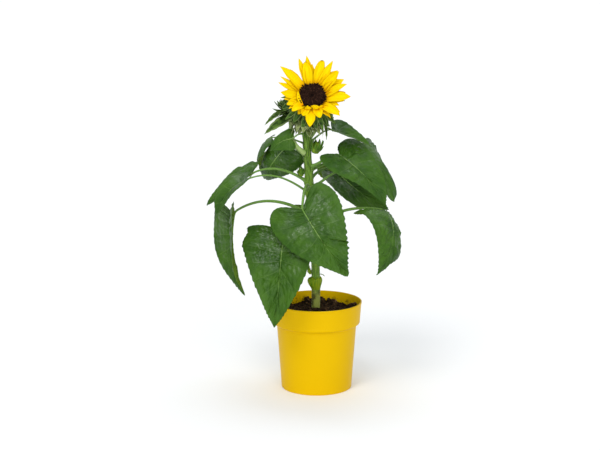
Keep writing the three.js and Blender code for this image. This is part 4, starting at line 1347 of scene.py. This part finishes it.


# %% [markdown]
# The ray petals are golden yellow with an orange foot and fine lengthwise nerves. Painted shade
# darkens their edges, where petals overlap, and their foot right at the disc. Their map runs from
# foot to tip, so the colour follows each petal wherever it points.

# %% Petal finish
def petal_finish():
    paint = Finish("petal", Roughness=0.55, Specular_IOR_Level=0.04)
    side, length = paint.map_parts("spear")
    lengthways = paint.node("CombineXYZ", [paint.times(side, 9), paint.times(length, 0.9)]).outputs[0]
    streaks = paint.noise(2.6, 3, 0.6, lengthways)
    reach = paint.times_plus(paint.noise(70, 3), 0.25, paint.times_plus(streaks, 0.3, length))
    yellow = paint.mixed(paint.rescaled(streaks, 0.3, 0.7), (0.88, 0.55, 0.0), (0.96, 0.70, 0.0))
    warm = paint.mixed(paint.rescaled(reach, 0.24, 0.7, 1, 0), yellow, (0.85, 0.36, 0.0))
    # Painted shade: right at the disc the foot turns a deep orange-brown.
    foot = paint.mixed(paint.rescaled(reach, 0.2, 0.42, 0.8, 0), warm, (0.50, 0.13, 0.003))
    # Painted shade: the edges turn darker orange, for the shadows where petals overlap.
    rim = paint.rescaled(paint.from_middle(side), 0.74, 1.0, 0, 0.45)
    edge_shaded = paint.mixed(rim, foot, (0.62, 0.32, 0.0))
    return paint.done(Base_Color=edge_shaded, Normal=paint.bumped(streaks, 0.5))


PETAL = petal_finish()

# %% [markdown]
# No two petals of a young bloom are alike: some are long, some blunt, some still short where the
# bloom has just opened. The uneven ring is read from the photograph petal by petal, as a few round
# numbers each. Twist, wave and the exact arch can't be read from it, so they are drawn from a seed.

# %% Ray petals
# Each ray petal: angle round the disc, length, width, lift out of the disc's plane, and how blunt
RAYS = [
    (-6, 42, 15, 30, 0), (13, 39, 14, 34, 0), (26, 37, 13, 26, 0), (36, 40, 14, 36, 0),
    (46, 38, 14, 26, 0.1), (57, 45, 12, 32, 0), (76, 41, 14, 28, 0.8), (97, 45.5, 11, 32, 0),
    (103, 38, 15, 37, 0.7), (110, 44.5, 10, 26, 0), (138, 48, 14, 30, 0), (160, 38, 8, 26, 0),
    (180, 34, 12, 34, 0), (200, 24, 12, 24, 0.2), (224, 26, 13, 34, 0.3), (245, 18, 13, 20, 0.3),
    (266, 32, 14, 12, 0.1), (288, 21, 14, 24, 0.4), (318, 42, 15, 30, 0), (336, 27, 12, 22, 0),
]
# Thinner, pointed petals that show between those, by the same numbers
THIN_RAYS = [
    (151, 40, 7, 30), (128, 36, 7, 22), (90, 34, 9, 24), (66, 36, 8, 22), (20, 35, 9, 20),
    (2, 33, 9, 20), (349, 32, 9, 24), (328, 32, 9, 18), (305, 28, 9, 18), (255, 20, 8, 8),
    (235, 19, 9, 14), (212, 24, 9, 20), (190, 27, 8, 22),
]
# Short inner petals at the disc's lower edge that stand up and roll over
CURLED_RAYS = [(254, 14, 11, 42, 0.2), (284, 17, 14, 46, 0.3), (303, 14, 11, 36, 0.2)]
CURLED_ARCH = -60
# One petal that lies folded along the disc's edge: where it is rooted, which way it runs, its size
FOLDED_RAY = {"turn": 229, "stands": 6, "off": 2.6, "runs": 112, "lift": 14, "length": 23, "width": 7}
DISC = {"seat": 1.3, "seat_radius": 14.4, "radius": 17.6, "widest": 4.6, "height": 8.4}
RAY_ROOT_RADIUS = 15.5
RAY_ARCH = 9
RAY_LIMITS = dict(arch=(-9, 9), twist=(-38, 38), cup=(0.1, 0.42), wave=(0.4, 1.1), sway=(-0.05, 0.05))
PETAL_THICKNESS = 0.35
PETAL_GRID = (15, 25)


def ray_petal(turn, length, width, lift, blunt=0, seed=0, arch=RAY_ARCH, root_radius=RAY_ROOT_RADIUS):
    """One petal in the bloom's frame, with its own slight twist, wave and arch."""
    own = drawn(np.random.default_rng(seed), RAY_LIMITS)
    return spear_at(
        heading(turn, 0) * root_radius, turn, lift, length, width, arch + own.pop("arch"),
        PETAL_THICKNESS, PETAL_GRID, pleats=0.55, blunt=blunt, seed=seed, **own)


def folded_petal():
    """A petal seen on its edge: it runs along the disc's rim with its side turned up."""
    turn = FOLDED_RAY["turn"]
    root = heading(turn, 0) * (DISC["radius"] + FOLDED_RAY["off"]) + FOLDED_RAY["stands"] * UP
    run = heading(FOLDED_RAY["runs"], FOLDED_RAY["lift"])
    side = unit(np.cross(run, np.cross(heading(turn - 30, 40), run)))
    sizes = FOLDED_RAY["length"], FOLDED_RAY["width"], 14, PETAL_THICKNESS, PETAL_GRID
    return spear(root, run, side, *sizes, pleats=0.2, cup=0.3, seed=5)


petals = [ray_petal(*ray, seed=seed) for seed, ray in enumerate(RAYS + THIN_RAYS)]
petals += [
    ray_petal(*ray, seed=60 + seed, arch=CURLED_ARCH, root_radius=RAY_ROOT_RADIUS + 0.3)
    for seed, ray in enumerate(CURLED_RAYS)]
petals.append(folded_petal())
dress(add_mesh("petals", in_bloom(gathered(petals)), [PETAL]), "petal_yellow", "ray_petals")

# %% [markdown]
# The disc is nearly black, but not one flat tone: some florets are dusty with pollen. Three plain
# browns are enough, dealt out by place and by ring.

# %% Disc finishes
def floret_brown(name, colour, tip):
    paint = Finish(name, Roughness=0.85, Specular_IOR_Level=0.08)
    speckle = paint.rescaled(paint.noise(700, 3), 0.4, 0.7)
    return paint.done(Base_Color=paint.mixed(speckle, colour, tip))


FLORET_BROWNS = [
    floret_brown("floret dark", (0.008, 0.003, 0.002), (0.02, 0.008, 0.005)),
    floret_brown("floret warm", (0.016, 0.006, 0.004), (0.042, 0.018, 0.010)),
    floret_brown("floret dusty", (0.034, 0.014, 0.009), (0.085, 0.036, 0.02)),
]

# %% [markdown]
# The disc is packed with small tube flowers. Each new one forms a golden angle, 137.5 degrees,
# further round, and that alone makes the crossing spirals. The same small shape is set down at
# every place, tall and open near the rim, short and closed in the middle, on a low dome with a
# hollow in it.

# %% Disc florets
FLORETS = 330
GOLDEN_ANGLE = 137.508
FLORET_SIDES = 6
# The floret's profile from foot to point: radius and height, as shares of its size
FLORET_PROFILE = [
    [0, -1.0], [0.42, -1.0], [0.5, 0.1], [0.62, 0.55], [0.8, 0.8], [0.42, 0.86], [0.2, 1.15], [0, 1.2]]
DISC_HOLLOW = {"deep": 1.5, "wide": 0.42}
# Shares of the disc's radius: the dark middle, and where the dusty florets end and the rim starts
DARK_MIDDLE, DUSTY_END, RIM_START = 0.14, 0.8, 0.86
DUSTY_EVERY = 5


def disc_height(radius):
    """A low dome with a hollow in the middle."""
    share = radius / DISC["radius"]
    dome = between(DISC["height"], DISC["widest"] + 1, share**3)
    return dome - DISC_HOLLOW["deep"] * hill(share, DISC_HOLLOW["wide"])


def floret_places():
    """Radius grows with the square root of the count, so the florets keep an even spacing."""
    dice = np.random.default_rng(21)
    number = np.arange(FLORETS) + 0.5
    turn = number * GOLDEN_ANGLE
    share = np.sqrt(number / FLORETS)
    radius = DISC["radius"] * share
    uneven = 1 + 0.05 * share**2 * np.cos(np.radians(5 * turn + 60))
    flat = heading(turn, 0) * (radius * uneven)[:, None]
    slope = (0.9 * share**3)[:, None]
    ways = heading(turn, 0) * slope + UP + dice.normal(0, 0.12, (FLORETS, 3))
    tall = between(0.9, 3.2, share**2) * dice.uniform(0.6, 1.35, FLORETS)
    broad = between(0.9, 1.75, share) * dice.uniform(0.85, 1.2, FLORETS)
    frames = frames_along(ways, dice.uniform(0, 6, FLORETS)) * stacked(broad, broad, tall)[:, :, None]
    return flat + UP * disc_height(radius)[:, None], frames, share


floret_points, floret_faces, _ = grid_shape(turned(np.array(FLORET_PROFILE), FLORET_SIDES))
places, frames, ring = floret_places()
florets = in_bloom(copies(floret_points, floret_faces, places, frames))
numbers = np.arange(FLORETS)
dusty = (numbers % DUSTY_EVERY == 0) & (ring < DUSTY_END)
browns = np.where(ring < DARK_MIDDLE, 0, np.where(dusty, 2, 1))
browns = np.repeat(np.where(ring > RIM_START, numbers % 2, browns), len(floret_faces))
dress(add_mesh("disc_florets", florets, FLORET_BROWNS, browns), "disc_brown")

# %% [markdown]
# Between the florets one looks at the disc that they stand on. It is a turned profile: a narrow seat
# in the cup, a wider rim, and the florets' own dome a little lower down.

# %% The disc's bed
DISC_SIDES = 60

disc_rim = DISC["radius"] * np.linspace(1, 0, 16)
disc_foot = [[0, DISC["seat"]], [DISC["seat_radius"], DISC["seat"]], [DISC["radius"] - 0.4, 3.6]]
disc_profile = np.concatenate([disc_foot, stacked(disc_rim, disc_height(disc_rim) - 0.9)])
disc_shape = in_bloom(grid_shape(turned(disc_profile, DISC_SIDES)))
dress(add_mesh("disc_bed", disc_shape, FLORET_BROWNS[:1]), "disc_brown", "disc")

# %% [markdown]
# Bracts are the small green leaves that wrap a bloom and its buds. They are dark down the middle and
# pale along both hairy edges. The finish reads the blade's own map, so the edge is pale all round.

# %% Bract finish
def bract_finish(name, dark, light, edge):
    paint = Finish(name, Roughness=0.6, Specular_IOR_Level=0.12)
    side, length = paint.map_parts("spear")
    cloud = paint.noise(180, 4)
    green = paint.mixed(paint.rescaled(cloud, 0.35, 0.65), dark, light)
    rim = paint.rescaled(paint.from_middle(side), 0.55, 1.0, 0, 0.85)
    foot = paint.rescaled(length, 0.0, 0.45, 0.6, 0)
    colour = paint.mixed(paint.maths("MAXIMUM", rim, foot), green, edge)
    return paint.done(Base_Color=colour, Normal=paint.bumped(cloud, 0.3))


BRACT = bract_finish("bract green", (0.010, 0.034, 0.004), (0.065, 0.135, 0.016), (0.22, 0.31, 0.09))
PALE_BRACT = bract_finish("pale bract", (0.14, 0.19, 0.05), (0.30, 0.37, 0.13), (0.52, 0.58, 0.32))
YOUNG_GREEN = bract_finish("young green", (0.075, 0.17, 0.008), (0.22, 0.33, 0.02), (0.30, 0.38, 0.06))
AXIL_GREEN = bract_finish("axil bract green", (0.025, 0.085, 0.005), (0.08, 0.18, 0.014), (0.18, 0.30, 0.05))

# %% [markdown]
# Under the petals sits the cup: a green bowl covered in overlapping pointed bracts. The bowl is a
# turned profile. The bracts come in rows, each evenly spaced and then shaken, because a strict ring
# looks like a cog wheel.

# %% The bloom's cup and its bracts
CUP = {"top": -1, "radius": 20, "neck": 5.8, "sides": 60}
# Each row of bracts: how many, where they are rooted, size, lift and how far the row is turned. Two
# rows fill only the arc under the bloom, where short petals leave the cup in sight. The two last
# rows are the pale, hairy ones right round the neck.
CUP_BRACTS = [
    dict(count=10, root_radius=15.5, seat=-4, length=35, width=7, lift=-10, turn=190, arc=140),
    dict(count=9, root_radius=14, seat=-7, length=27, width=7, lift=-22, turn=198, arc=130),
    dict(count=17, root_radius=16, seat=-3, length=32, width=9, lift=-9, turn=0),
    dict(count=16, root_radius=14.5, seat=-7, length=26, width=8, lift=-34, turn=0),
    dict(count=15, root_radius=18, seat=-2, length=17, width=7, lift=18, turn=12),
    dict(count=17, root_radius=12, seat=-10, length=19, width=7, lift=-48, turn=9),
    dict(count=20, root_radius=9, seat=-12, length=13, width=5, lift=-58, turn=4, pale=True),
    dict(count=18, root_radius=6.5, seat=-15, length=9, width=4, lift=-72, turn=0, pale=True),
]
CUP_LIMITS = dict(turn=(-6, 6), lift=(-11, 11), length=(0.75, 1.05), arch=(-20, 20), twist=(-45, 45))
CUP_ARCH = 24


def row_turns(row):
    """The turns of a row's bracts: evenly spaced all round, or over the row's arc."""
    return row.get("arc", 360) * np.arange(row["count"]) / row["count"] + row["turn"]


def cup_bowl():
    """The bowl under the petals: from the stem's neck out to the widest ring and over its top."""
    rings = turned(rounded_profile([
        (0, -CUP_DEPTH, 0),
        (CUP["neck"], -CUP_DEPTH, 1),
        (0.62 * CUP["radius"], -0.72 * CUP_DEPTH, 2),
        (0.9 * CUP["radius"], -0.45 * CUP_DEPTH, 2),
        (CUP["radius"], -0.2 * CUP_DEPTH, 1.2),
        (CUP["radius"] - 1, CUP["top"], 0.8),
        (0, CUP["top"], 0),
    ]), CUP["sides"])
    return grid_shape(rings, tube=flat_map(rings[..., 0] / CUP["radius"], rings[..., 2] / TUBE_MAP_LENGTH))


def cup_bracts(pale):
    """Rows of bracts, either the pale rows or the others."""
    dice = np.random.default_rng(31)
    shapes = []
    for row in (row for row in CUP_BRACTS if row.get("pale", False) == pale):
        for turn in row_turns(row):
            shapes.append(shaken_spear(
                dice, CUP_LIMITS, lambda turn: heading(turn, 0) * row["root_radius"] + row["seat"] * UP,
                turn, row["lift"], row["length"], row["width"], CUP_ARCH, pleats=0.15, wave=0.5,
                seed=len(shapes)))
    return in_bloom(gathered(shapes))


dress(add_mesh("cup_bowl", in_bloom(cup_bowl()), [PALE_GREEN]), "bract_green", "bloom_cup")
dress(add_mesh("cup_bracts", cup_bracts(False), [BRACT]), "bract_green")
dress(add_mesh("neck_bracts", cup_bracts(True), [PALE_BRACT]), "bract_green")

# %% [markdown]
# Just under the bloom the stem is hidden by a ruff of small hairy leaves that droop all round it,
# green ones among pale ones. They are the same pointed blades again, set in whorls that are rooted
# in the stem's own line.

# %% Small leaves round the neck
NECK_LEAVES = [
    dict(height=394, count=14, length=27, width=8, rise=-4, turn=10, finish=BRACT),
    dict(height=389, count=17, length=29, width=9, rise=-6, turn=0, finish=PALE_BRACT),
    dict(height=385, count=17, length=27, width=9, rise=-14, turn=14, finish=PALE_BRACT),
    dict(height=387, count=11, length=27, width=6, rise=-12, turn=25, finish=BRACT),
    dict(height=380, count=14, length=19, width=7, rise=-26, turn=14, finish=PALE_BRACT),
]
NECK_LIMITS = dict(
    turn=(-10, 10), lift=(-14, 14), up=(-3, 3), length=(0.7, 1.1), arch=(-30, 30), twist=(-60, 60))
NECK_ARCH = 26


def neck_leaves(row, seed):
    """One whorl of evenly spaced leaves, rooted a little inside the stem."""
    dice = np.random.default_rng(seed)
    middle = np.array([np.interp(row["height"], stem_line[:, 2], stem_line[:, k]) for k in range(3)])
    return gathered([
        shaken_spear(
            dice, NECK_LIMITS, lambda turn: middle + heading(turn, 0) * (STEM_RADII["top"] - 1.2), turn,
            row["rise"], row["length"], row["width"], NECK_ARCH, pleats=0.2, wave=0.7, teeth=0.5,
            seed=number)
        for number, turn in enumerate(row_turns(row))])


for number, row in enumerate(NECK_LEAVES):
    piece = add_mesh(f"neck_leaves_{number + 1}", neck_leaves(row, seed=120 + number), [row["finish"]])
    dress(piece, "bract_green")

# %% [markdown]
# Two side buds stand beside the bloom on their own stalks. Each is an egg in a rosette of narrow
# bracts: the inner ones wrap it, the outer ones spread, and the outermost hang down over the stalk.
# A table says where each bud sits and how large it is, and another one describes the rings.

# %% The side buds' places and sizes
BUDS = {
    "left": dict(
        centre=(-41, 34, 403), looks=(150, 78), radius=8.5, half=11,
        bracts=dict(count=15, length=19, width=5.5, open=44),
        leafy=[
            dict(joint=(-38, 27, 391), tip=(203, -22), face=(270, 50), length=46, width=15, bend=(30, 0, 0)),
            dict(joint=(-49, 31, 399), tip=(195, -28), face=(255, 50), length=34, width=8, bend=(30, 0, 0)),
        ],
        stalk=dict(height=341, compass=205, rise=35, bend=0.5, root=3.4, tip=3)),
    "right": dict(
        centre=(9, 21, 395), looks=(50, 58), radius=6, half=8,
        bracts=dict(count=11, length=15, width=4.4, open=40),
        leafy=[
            dict(joint=(7, 17, 391), tip=(300, -35), face=(330, 50), length=38, width=6, bend=(46, 0, 0)),
        ],
        stalk=dict(height=361, compass=40, rise=42, bend=0.4, root=2.4, tip=2)),
}
# Each ring of bracts from the hanging ones to those that wrap the egg: how many fewer than the fan
# has, how far open as a share of the fan and in degrees more, length and width as shares of the
# fan's, and where the foot sits on the egg: how far out as a share of its radius, and how far up
BUD_RINGS = [
    (0, 1, 76, 1.2, 1.3, 0.7, -45),
    (0, 1, 42, 1, 1.2, 0.75, -38),
    (0, 1, 0, 1, 1, 0.75, -30),
    (0, 0.75, 0, 0.8, 1, 0.85, -20),
    (2, 0.4, 0, 0.75, 1, 0.85, -10),
    (4, 0.1, 0, 0.62, 1.2, 0.85, 0),
]

# %% [markdown]
# A ring of bracts is easiest to think of on a bud that stands upright. A frame then carries it over
# to the slant of the real bud. Turn, spread, length, arch and twist of each bract are drawn from a
# seed, so that no ring looks like a cog wheel.

# %% Bracts round a side bud
BUD_LIMITS = dict(turn=(-6, 6), spread=(-6, 6), length=(0.85, 1.05), arch=(-20, 12), twist=(-50, 50))
BUD_ARCH = -20
# Every other bract of a ring stands this much further open
BUD_STAGGER = 16


def upright_frame(way):
    """Rows that carry +Z onto a way by the shortest turn."""
    way = unit(way)
    axis = np.cross(UP, way)
    angle = np.arctan2(np.linalg.norm(axis), way[2])
    return np.stack([turned_about(v, unit(axis), np.array(angle)) for v in np.eye(3)])


def bud_bracts(bud, seed):
    """Rings of bracts, from the ones that hang down to those that wrap the egg."""
    dice = np.random.default_rng(seed)
    frame = upright_frame(heading(*bud["looks"]))
    fan = bud["bracts"]
    shapes = []
    for fewer, opened, more, long, wide, foot_out, foot_up in BUD_RINGS:
        count = fan["count"] - fewer
        reach = foot_out * bud["radius"]
        for number in range(count):
            spread = opened * fan["open"] + more + BUD_STAGGER * (number % 2 - 0.5)
            shapes.append(shaken_spear(
                dice, BUD_LIMITS, lambda turn: heading(turn, foot_up) * reach @ frame + bud["centre"],
                360 * number / count, 90 - spread, long * fan["length"], wide * fan["width"], BUD_ARCH,
                pleats=0.12, wave=0.35, seed=number, frame=frame))
    return shapes


# %% [markdown]
# The small leaves at a bud's foot are the leaf blade again, without lobes. The egg is a ball drawn
# out along the way that the bud looks. Both carry the bracts' map, so that one finish serves for the
# whole bud.

# %% Small plain leaves and the egg
PLAIN_LEAF_GRID = (11, 40)
EGG_GRID = (15, 24)
FLAT_MAP_MIDDLE = 0.5


def plain_leaf(leaf, seed):
    """A small leaf with no lobes, with the same map as a bract."""
    across, along = (np.linspace(start, 1, count) for start, count in zip((-1, 0), PLAIN_LEAF_GRID))
    across, along = np.broadcast_arrays(across[None, :], along[:, None])
    tooth = 0.9 * np.abs(np.sin(np.pi * 6 * along + seed)) * np.sin(np.pi * along)
    points, normal, _ = blade({**leaf, "plain": True}, across, along, tooth)
    shift = normal * (BRACT_THICKNESS / 2 * thinned(across, along, 0.05))[..., None]
    points = points - normal * (0.4 * hill(across, 0.2))[..., None]
    return closed_sheet(points + shift, points - shift, spear=flat_map(across / 2 + 0.5, along))


def bud_core(profile, sides, looks, centre):
    """The closed middle of a bud: a profile turned about the way that it looks."""
    points, faces, _ = grid_shape(turned(profile, sides))
    middle = np.full((len(points), 2), FLAT_MAP_MIDDLE)
    return points @ upright_frame(looks) + centre, faces, {"spear": middle}


def egg(bud):
    """The core of a side bud: a ball stretched along the way that the bud looks."""
    up = np.linspace(-np.pi / 2, np.pi / 2, EGG_GRID[0])
    profile = stacked(bud["radius"] * np.cos(up).clip(0), bud["half"] * np.sin(up))
    return bud_core(profile, EGG_GRID[1], heading(*bud["looks"]), bud["centre"])


# %% [markdown]
# The buds' stalks leave the stem as leaf stalks do, swing up and run into the foot of the egg. They
# are tubes with the same channel, only paler, as young growth is.

# %% Build the side buds and their stalks
BUD_STALK_SIDES = 24


def bud_stalk(bud):
    """Out of the stem and up into the foot of the bud: a path, its sizes and the way out."""
    stalk = bud["stalk"]
    outward = heading(stalk["compass"], 0)
    looks = heading(*bud["looks"])
    start = stem_axis(stalk["height"]) + outward * (stem_radius(stalk["height"]) - 1)
    end = np.array(bud["centre"]) - looks * (bud["half"] - 1)
    pull = stalk["bend"] * np.linalg.norm(end - start)
    leaving = heading(stalk["compass"], stalk["rise"]) * pull
    path, _ = evenly(bezier([start, start + leaving, end - looks * pull, end], 60), 50)
    share = np.linspace(0, 1, len(path))
    thick = between(stalk["root"], stalk["tip"], share) * (1 + 0.3 * hill(share, 0.12))
    return path, thick, outward


for number, (name, bud) in enumerate(BUDS.items()):
    leafy = [plain_leaf(leaf, number) for leaf in bud["leafy"]]
    shape = gathered([egg(bud), *bud_bracts(bud, seed=60 + number), *leafy])
    dress(add_mesh(f"bud_{name}", shape, [BRACT]), "bract_green", f"side_bud_{name}")
    path, thick, outward = bud_stalk(bud)
    shape, surface = tube(path, thick, BUD_STALK_SIDES, np.cross(outward, UP), channelled)
    dress(add_mesh(f"budstalk_{name}", shape, [PALE_GREEN]), "pale_stalk", f"bud_stalk_{name}")
    hair_roots["stalk"].append(surface)

# %% [markdown]
# The smallest buds sit right in the leaf axils, the corners between stalk and stem. They are a
# pointed core in upright bracts whose tips stand free. Three spreads take turns round the core, so
# the bracts overlap as scales do.

# %% Buds in the leaf axils
AXIL_BUDS = {
    "right": dict(height=349, compass=-27, radius=7.8, length=21, lean=12),
    "left": dict(height=313, compass=184, radius=4.6, length=14, lean=8),
}
# The core from foot to point: radius and height, as shares of the bud's radius and length
AXIL_PROFILE = [[0, -0.4], [0.6, -0.33], [0.95, -0.05], [0.7, 0.2], [0.3, 0.38], [0, 0.45]]
AXIL_SPREADS = (8, 20, 34)
AXIL_BRACTS = 18
AXIL_LIMITS = dict(turn=(-8, 8), length=(0.45, 0.95), twist=(-40, 40))
AXIL_ARCH = -22
# Where a bract is rooted and how broad it is, as shares of the bud's radius or length
AXIL_FOOT = {"out": 0.72, "down": 0.2, "broad": 0.6}
AXIL_SIDES = 20


def axil_bud(bud, seed):
    """A small pointed bud: (core, bracts)."""
    dice = np.random.default_rng(seed)
    outward = heading(bud["compass"], 0)
    looks = heading(bud["compass"], 90 - bud["lean"])
    centre = stem_axis(bud["height"]) + outward * (stem_radius(bud["height"]) + bud["radius"] + 0.4)
    frame = upright_frame(looks)
    out, down = AXIL_FOOT["out"] * bud["radius"], AXIL_FOOT["down"] * bud["length"]
    shapes = [
        shaken_spear(
            dice, AXIL_LIMITS, lambda turn: (heading(turn, 0) * out - down * UP) @ frame + centre,
            360 / AXIL_BRACTS * number, 90 - AXIL_SPREADS[number % len(AXIL_SPREADS)], bud["length"],
            AXIL_FOOT["broad"] * bud["radius"], AXIL_ARCH, grid=(7, 13), pleats=0.1, wave=0.2,
            seed=number, frame=frame)
        for number in range(AXIL_BRACTS)]
    profile = np.array(AXIL_PROFILE) * [bud["radius"], bud["length"]]
    return bud_core(profile, AXIL_SIDES, looks, centre), gathered(shapes)


for number, (name, bud) in enumerate(AXIL_BUDS.items()):
    core, bracts = axil_bud(bud, seed=80 + number)
    dress(add_mesh(f"axilbud_{name}", core, [YOUNG_GREEN]), "bract_green", f"axil_bud_{name}")
    dress(add_mesh(f"axilbud_bracts_{name}", bracts, [AXIL_GREEN]), "bract_green")

# %% [markdown]
# Low on the stem are the remains of the seed leaves: a swollen yellow-green collar, and two short
# stubs above it. The collar is a turned sleeve whose rings are then pushed out unevenly.

# %% Seed leaves
SEED_COLLAR = dict(height=154, half=10, bulge=2.6, shoulder=2.4, compass=180, rings=33, sides=72)
SEED_STUBS = {
    "left": dict(
        height=167, compass=190, away=1, tip=(184, 30), face=(-80, 10), length=14, width=5,
        bend=(0, -90, 0)),
    "right": dict(
        height=166.5, compass=-10, away=0.5, tip=(-10, 8), face=(170, 75), length=9, width=3.4,
        bend=(55, 0, 0)),
}
COLLAR_GREEN = stalk_green("collar green", (0.07, 0.21, 0.006), (0.30, 0.37, 0.012))


def seed_collar():
    """A sleeve round the stem, widest above its middle and fuller to one side.

    radius = stem + 0.3 + (shoulder + bulge x towards squared) x hump, where hump rises slowly from
    the lower edge and falls fast to the upper one. The upper edge is ragged.
    """
    count, sides, height = SEED_COLLAR["rings"], SEED_COLLAR["sides"], SEED_COLLAR["height"]
    share = np.linspace(-1, 1, count)[:, None]
    inner = stem_radius(height) - 0.8
    column = np.concatenate([share, [[1], [-1], [-1]]])
    rings = turned(stacked(inner, SEED_COLLAR["half"] * column[:, 0]), sides)
    turn = np.linspace(0, 2 * np.pi, sides + 1)[None, :]
    towards = (1 + np.cos(turn - np.radians(SEED_COLLAR["compass"]))) / 2
    hump = np.sin(np.pi * ((share + 1) / 2) ** 1.6).clip(0) ** 0.8
    lobes = 1 + 0.22 * np.cos(2 * turn - 0.4) + 0.06 * np.sin(7 * turn + 3 * share)
    radius = inner + 1.1 + (SEED_COLLAR["shoulder"] + SEED_COLLAR["bulge"] * towards**2) * hump * lobes
    rings[:count, :, 0] = radius * np.cos(turn)
    rings[:count, :, 1] = radius * np.sin(turn)
    rings[-1] = rings[0]
    upper = eased((column - 0.55) / 0.45)
    rings[..., 2] += (0.9 * np.sin(5 * turn + 1) + 0.5 * np.sin(9 * turn) - 2.2) * upper
    rings = rings + stem_axis(height)
    return grid_shape(rings, tube=flat_map(rings[..., 0] / 40 + 0.5, rings[..., 2] / TUBE_MAP_LENGTH))


dress(add_mesh("collar", seed_collar(), [COLLAR_GREEN]), "pale_stalk", "seed_leaf_collar")
for number, (name, stub) in enumerate(SEED_STUBS.items()):
    out = heading(stub["compass"], 0) * (stem_radius(stub["height"]) + stub["away"] - 1.4)
    shape = plain_leaf({**stub, "joint": stem_axis(stub["height"]) + out}, number)
    dress(add_mesh(f"stub_{name}", shape, [YOUNG_GREEN]), "bract_green", f"seed_leaf_{name}")

# %% [markdown]
# Sunflower stems are bristly. Each hair is a thin three-sided spike, four faces in all, rooted at
# a random spot of the surface and leaning at random. Thousands of them joined in one mesh cost
# little and give the stem its pale, soft edge against the light.

# %% Hairs
HAIR_POINTS = np.array([[1, 0, 0], [-0.5, 0.87, 0], [-0.5, -0.87, 0], [0, 0, 1]])
HAIR_FACES = np.array([[0, 1, 3, 3], [1, 2, 3, 3], [2, 0, 3, 3], [2, 1, 0, 0]])
HAIR_SUNK = 0.15
# Each set of hairs: where, in which slot, how many, length, thickness and seed
HAIRS = [("stem", "green_stem", 5200, 1.5, 0.09, 91), ("stalk", "pale_stalk", 9000, 0.9, 0.07, 92)]


def hair_finish():
    paint = Finish("pale hair", Roughness=0.6, Specular_IOR_Level=0.3)
    return paint.done(Base_Color=paint.mixed(paint.noise(90, 2), (0.42, 0.50, 0.30), (0.62, 0.68, 0.50)))


HAIR = hair_finish()


def hairs(rooted, count, length, thickness, seed):
    """Spikes at seeded spots of the given surfaces, most of them within 35 degrees of square."""
    dice = np.random.default_rng(seed)
    points, ways = (np.concatenate(parts) for parts in zip(*rooted))
    chosen = dice.integers(0, len(points), count)
    points, ways = points[chosen], ways[chosen]
    lean = unit(ways + dice.normal(0, 0.35, (count, 3)))
    size = stacked(thickness, thickness, length * dice.uniform(0.5, 1.3, count))
    jitter = dice.normal(0, 0.3, (count, 3))
    roots = points + jitter - (jitter * ways).sum(axis=1, keepdims=True) * ways - HAIR_SUNK * ways
    return copies(HAIR_POINTS, HAIR_FACES, roots, frames_along(lean) * size[:, :, None])


for name, slot, *numbers in HAIRS:
    dress(add_mesh(f"{name}_hairs", hairs(hair_roots[name], *numbers), [HAIR]), slot)

# %% [markdown]
# The stage is a plain white floor, far wider than the picture, so that no edge of it shows. It is
# not part of the plant.

# %% Floor
FLOOR_HALF = 15000


def floor_finish():
    paint = Finish("white floor", Roughness=0.9, Specular_IOR_Level=0.1)
    return paint.done(Base_Color=paint.mixed(paint.noise(3, 1), (0.90, 0.90, 0.90), (0.92, 0.92, 0.92)))


floor_corners = FLOOR_HALF * np.array([[-1.0, -1, 0], [1, -1, 0], [1, 1, 0], [-1, 1, 0]])
floor_mesh = bpy.data.meshes.new("floor")
floor_mesh.from_pydata((floor_corners * MM).tolist(), [], [(0, 1, 2, 3)])
floor_mesh.materials.append(floor_finish())
floor = bpy.data.objects.new("floor", floor_mesh)
bpy.context.collection.objects.link(floor)

# %% [markdown]
# The light is soft, as under a large studio tent: a wide key from the front left, a low fill from
# the front, a weak light from above and behind, and an even pale surround. Wide suns light the whole
# floor alike, so the ground stays as even as in a cut-out picture.

# %% Lights and surround
# Each sun: compass angle and height it shines from, strength, degrees across, and colour
SUNS = {
    "key": (-115, 47, 1.2, 26, (1.0, 0.99, 0.97)),
    "fill": (-78, 15, 1.15, 46, (0.98, 0.99, 1.0)),
    "top": (80, 70, 0.7, 40, (0.9, 0.96, 1.0)),
}
SURROUND = {"Color": (0.96, 0.98, 1.0, 1), "Strength": 0.62}

for name, (compass, up, strength, wide, colour) in SUNS.items():
    light = bpy.data.lights.new(name, "SUN")
    light.energy = strength
    light.angle = np.radians(wide)
    light.color = colour
    lamp = bpy.data.objects.new(name, light)
    lamp.rotation_euler = Vector(heading(compass, up)).to_track_quat("Z", "Y").to_euler()
    bpy.context.collection.objects.link(lamp)

world = bpy.data.worlds.new("pale surround")
world.use_nodes = True
for socket, value in SURROUND.items():
    world.node_tree.nodes["Background"].inputs[socket].default_value = value
bpy.context.scene.world = world
bpy.context.scene.view_settings.view_transform = "Standard"
